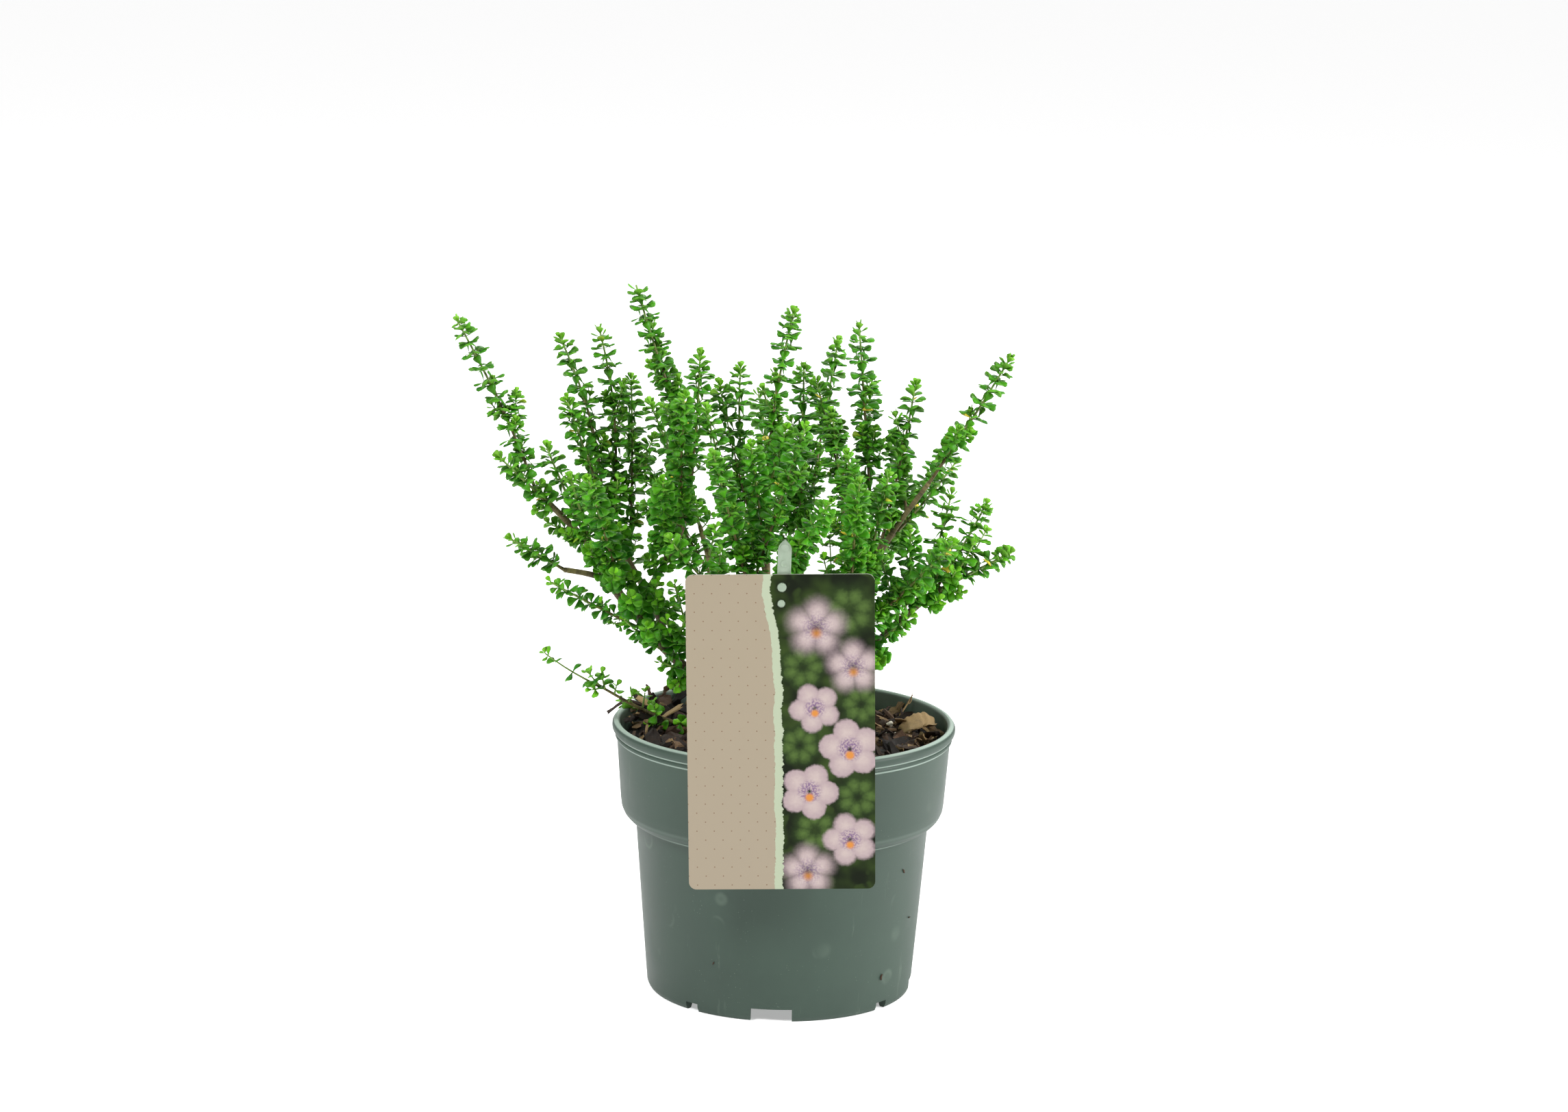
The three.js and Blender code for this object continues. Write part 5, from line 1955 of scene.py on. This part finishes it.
@dataclass
class HangingLabel:
    """The printed card, hung by two holes on the stake's studs."""

    width: float = 97.0
    height: float = 169.2
    thickness: float = 0.8
    corner: float = 4.0
    top: tuple[float, float, float] = (-3.6, -98.9, 248.7)
    tilt: float = 2.2
    roll: float = 1.5
    # Right of the middle, below the top, radius
    studs: tuple[tuple[float, float, float], ...] = ((1.0, 6.8, 2.3), (0.6, 15.4, 1.9))
    hole_gap: float = 0.3
    stud_behind: float = 1.6
    stud_reach: float = 0.5

    def matrix(self) -> Matrix:
        """Turns the card's own frame (x right, y up from its top edge, z to the front) into place."""
        turn = Matrix.Rotation(math.radians(self.tilt), 4, "X")
        turn = turn @ Matrix.Rotation(math.radians(-self.roll), 4, "Y")
        turn = turn @ Matrix.Rotation(math.pi / 2, 4, "X")
        return Matrix.Translation([value * MM for value in self.top]) @ turn

    def placed(self, points: Array) -> Array:
        """Points of the card's own frame, in mm, in the shared frame, in metres."""
        matrix = np.array(self.matrix())
        return points * MM @ matrix[:3, :3].T + matrix[:3, 3]

    def outline(self, inset: float) -> Array:
        """The card's edge with round corners, drawn in by inset, as (points, 2)."""
        turn = np.linspace(0, math.pi / 2, 9)
        radius = self.corner - inset
        arcs = []
        for i, (sx, sy) in enumerate([(1, 1), (-1, 1), (-1, -1), (1, -1)]):
            centre = (sx * (self.width / 2 - self.corner), sy * (self.height / 2 - self.corner))
            angle = turn + i * math.pi / 2
            arcs.append(np.array(centre) + radius * np.stack([np.cos(angle), np.sin(angle)], -1))
        return np.concatenate(arcs) - np.array([0.0, self.height / 2])

    def build_card(self, finishes: Finishes) -> None:
        """Stacks four outlines into a card with eased edges, and cuts the two holes."""
        ease = 0.15
        levels = ((ease, 0.0), (0.0, ease), (0.0, self.thickness - ease), (ease, self.thickness))
        rings = [np.pad(self.outline(inset), ((0, 0), (0, 1)), constant_values=z) for inset, z in levels]
        skin = Skin()
        skin.add_closed(self.placed(np.stack(rings)))
        cutters = []
        for right, below, radius in self.studs:
            rim = radius + self.hole_gap
            tube = revolved(np.array([(rim, -2.0), (rim, 3.0)]), 40) + np.array([right, -below, 0.0])
            cutter = Skin()
            cutter.add_closed(self.placed(tube))
            cutters.append(cutter)
        mesh = carved(skin, cutters, "label_card", 30)
        self.map_print(mesh)
        put(mesh, "label_card", [finishes.card_back, finishes.card], Slot.CARD, "label")

    def map_print(self, mesh: bpy.types.Mesh) -> None:
        """Gives the card its print: u and v from 0 to 1 over the front, and its material there."""
        places = np.empty(len(mesh.vertices) * 3, np.float32)
        mesh.vertices.foreach_get("co", places)
        back = np.array(self.matrix().inverted())
        flat = (places.reshape(-1, 3) @ back[:3, :3].T + back[:3, 3]) / MM
        uv = np.stack([flat[:, 0] / self.width + 0.5, flat[:, 1] / self.height + 1], -1)
        corners = np.empty(len(mesh.loops), np.int32)
        mesh.loops.foreach_get("vertex_index", corners)
        layer = mesh.uv_layers.new(name="print")
        layer.data.foreach_set("uv", uv[corners].astype(np.float32).ravel())
        normals = np.empty(len(mesh.polygons) * 3, np.float32)
        mesh.polygons.foreach_get("normal", normals)
        facing = normals.reshape(-1, 3) @ np.array(self.matrix())[:3, 2]
        mesh.polygons.foreach_set("material_index", (facing > 0.5).astype(np.int32))

    def stud_points(self, stud: tuple[float, float, float]) -> Array:
        """Rings of one stud, with a low domed head."""
        right, below, radius = stud
        head = self.thickness + self.stud_reach
        profile = np.array(
            [
                (radius, -self.stud_behind),
                (radius, head - 0.25),
                (radius - 0.1, head - 0.1),
                (radius * 0.8, head - 0.02),
                (radius * 0.4, head),
            ]
        )
        return self.placed(revolved(profile, 32) + np.array([right, -below, 0.0]))


@dataclass
class LabelStake:
    """The plastic strip, with raised edges and sunken spare studs, curved as it leans out."""

    label: HangingLabel
    width: float = 7.0
    thickness: float = 1.1
    point: float = 5.0
    # Distance in front of the pot's middle and height, from the buried point up to the tip
    route: tuple[tuple[float, float], ...] = (
        (70, 58),
        (78.5, 118),
        (84.6, 147),
        (92.6, 192),
        (96.4, 222),
        (98.1, 266.6),
    )
    lean: float = -1.2
    foot: float = -4.6
    # Share of the line and radius of the round marks above the label
    marks: tuple[tuple[float, float], ...] = ((0.9805, 2.2), (0.945, 1.9))

    def line(self) -> Route:
        """The strip's middle line."""
        route = np.array(self.route)
        rise = (route[:, 1] - route[0, 1]) / (route[-1, 1] - route[0, 1])
        points = np.stack([self.foot + (self.lean - self.foot) * rise, -route[:, 0], route[:, 1]], -1)
        return Route(points * MM)

    def build(self, finishes: Finishes) -> None:
        """Carries the strip's section along the line; its ends narrow as 1 - (1 - e)² to a point."""
        line = self.line()
        share = np.concatenate([np.linspace(0, 0.95, 50), np.linspace(0.956, 1, 16)])
        length = line.length() / MM
        end = np.clip(np.minimum(share, 1 - share) * length / self.point, 0.04, 1)
        half = (1 - (1 - end) ** 2) * self.width / 2
        run = line.run(share)
        side = unit(np.array([1.0, 0.0, 0.0]) - run[:, :1] * run)
        face = np.cross(side, run)
        inner = self.thickness / 2
        u = np.array([-1, -0.86, -0.8, 0, 0.8, 0.86, 1, 1, 0.86, 0.8, 0, -0.8, -0.86, -1])
        v = np.array([-1, -1, -0.55, -0.55, -0.55, -1, -0.9, 0.9, 1, 0.55, 0.55, 0.55, 1, 0.9])
        points = line.at(share)[:, None] / MM
        points = points + (half[:, None] * u)[..., None] * side[:, None]
        points = points + (inner * v)[None, :, None] * face[:, None]
        skin = Skin()
        skin.add_closed(points * MM)
        for stud in self.label.studs:
            skin.add_closed(self.label.stud_points(stud))
        for share_at, radius in self.marks:
            skin.add_closed(self.mark(line, share_at, radius))
        put(skin.mesh("stake_strip", 40), "stake_strip", [finishes.stake], Slot.STAKE, "label_stake")

    def mark(self, line: Route, share: float, radius: float) -> Array:
        """A round mark on the strip's front: a low rim round a sunken disc."""
        centre, run = line.at(share) / MM, line.run(share)
        side = unit(np.array([1.0, 0.0, 0.0]) - run[0] * run)
        face = np.cross(side, run)
        profile = [(radius, 0.0), (radius, 0.3), (radius - 0.3, 0.32), (radius - 0.5, 0.16), (0.3, 0.15)]
        disc = revolved(np.array(profile), 28)
        up = np.cross(face, side)
        return (centre + disc[..., :1] * side + disc[..., 1:2] * up + (disc[..., 2:] + 0.2) * face) * MM


# The studio


@dataclass
class Studio:
    """A pale floor under soft light, seen from the photo's own angle."""

    lens: float = 100.0
    sensor: float = 36.0
    pitch: float = 12.051
    roll: float = 1.146
    stand: tuple[float, float, float] = (-1.7, -2274.3, 722.6)
    white: Colour = srgb(250, 250, 250)
    black: Colour = srgb(14, 14, 14)
    # How strongly the floor and the surround glow
    floor_glow: float = 0.4
    surround_glow: float = 0.6
    # Each soft light's name, place and size in metres, and power in watts
    lamps: tuple[tuple[str, tuple[float, float, float], float, float], ...] = (
        ("key_light", (-1.2, -1.3, 2.1), 0.7, 50),
        ("fill_light", (2.0, -0.7, 1.3), 1.0, 60),
        ("back_light", (0.3, 1.8, 1.8), 1.2, 24),
    )

    def camera(self) -> None:
        """Places the camera: it looks along +Y, tips down by pitch and turns about its own line."""
        data = bpy.data.cameras.new("photo_view")
        data.lens = self.lens
        data.sensor_width = self.sensor
        data.clip_end = 50
        tip, turn = math.radians(self.pitch), math.radians(self.roll)
        forward = np.array([0.0, math.cos(tip), -math.sin(tip)])
        up = np.array([0.0, math.sin(tip), math.cos(tip)])
        right = np.array([1.0, 0.0, 0.0])
        right, up = (
            math.cos(turn) * right + math.sin(turn) * up,
            math.cos(turn) * up - math.sin(turn) * right,
        )
        place = np.eye(4)
        place[:3, 0], place[:3, 1], place[:3, 2] = right, up, -forward
        place[:3, 3] = np.array(self.stand) * MM + POT_AXIS
        camera = bpy.data.objects.new("photo_view", data)
        camera.matrix_world = Matrix(place.tolist())
        bpy.context.scene.collection.objects.link(camera)
        bpy.context.scene.camera = camera

    def sheet(
        self, name: str, corners: Sequence[Sequence[float]], colour: Colour, glow: float = 0.0
    ) -> bpy.types.Object:
        """A plain sheet of the studio with four corners, in metres, that may glow white."""
        skin = Skin()
        skin.add(np.array(corners, float), [np.array([[0, 1, 2, 3]])], [0])
        mesh = skin.mesh(name)
        glowing = {"Emission_Color": self.white, "Emission_Strength": glow}
        look = Look(name, Base_Color=colour, Roughness=0.9, **glowing)
        mesh.materials.append(look.material)
        sheet = bpy.data.objects.new(name, mesh)
        bpy.context.scene.collection.objects.link(sheet)
        return sheet

    def light(self, name: str, place: Sequence[float], size: float, power: float) -> None:
        """A soft square light that looks at the middle of the bush."""
        data = bpy.data.lights.new(name, "AREA")
        data.size = size
        data.energy = power
        lamp = bpy.data.objects.new(name, data)
        aim = np.array([0.0, 0.0, 0.2])
        back = unit(np.array(place, float) - aim)
        right = unit(np.cross(UP, back))
        turn = np.eye(4)
        turn[:3, 0], turn[:3, 1], turn[:3, 2] = right, np.cross(back, right), back
        turn[:3, 3] = np.array(place) + POT_AXIS
        lamp.matrix_world = Matrix(turn.tolist())
        bpy.context.scene.collection.objects.link(lamp)

    def build(self) -> None:
        """The camera, the floor, a dark screen behind the camera, a white surround and soft lights."""
        self.camera()
        ground = [(-12, -12, 0), (12, -12, 0), (12, 12, 0), (-12, 12, 0)]
        behind = [(4, -3, 0), (-4, -3, 0), (-4, -3, 5), (4, -3, 5)]
        floor = self.sheet("studio_floor", ground, self.white, self.floor_glow)
        screen = self.sheet("dark_screen", behind, self.black)
        screen.visible_camera = False
        world = bpy.data.worlds.new("white_surround")
        world.use_nodes = True
        surround = world.node_tree.nodes["Background"].inputs
        surround["Color"].default_value = (1, 1, 1, 1)
        surround["Strength"].default_value = self.surround_glow
        bpy.context.scene.world = world
        for lamp in self.lamps:
            self.light(*lamp)
        bpy.context.scene.view_settings.view_transform = "Standard"


def main() -> None:
    """Builds the stage and every piece in order, and reports each one."""
    logging.basicConfig(level=logging.INFO, format="%(name)s %(message)s")
    Studio().build()
    finishes = Finishes()
    NurseryPot().build(finishes)
    SoilFill().build(finishes)
    LooseBark().build(finishes)
    large = (
        LargeFlake("tan_bark_chip", (72.5, 15), 14, (20, 14, 2.6), 5, 0.92, Slot.PALE_BARK, 0.3),
        LargeFlake("dark_bark_strip", (-75, 27), 172, (42, 6, 2.2), 10, 0.3, hook=6),
        LargeFlake("bark_chip_back", (-67, 41), 70, (18, 10, 3), 10, 0.5),
        LargeFlake("bark_chip_front", (60, -24), 6, (24, 10, 3), 2, 0.55),
    )
    for number, flake in enumerate(large):
        flake.build(finishes, number)
    Grit().build(finishes)
    DryTwig().build(finishes)
    ClingingCrumbs().build(finishes)
    Bush().build(finishes)
    label = HangingLabel()
    label.build_card(finishes)
    LabelStake(label).build(finishes)


if __name__ == "__main__":
    main()
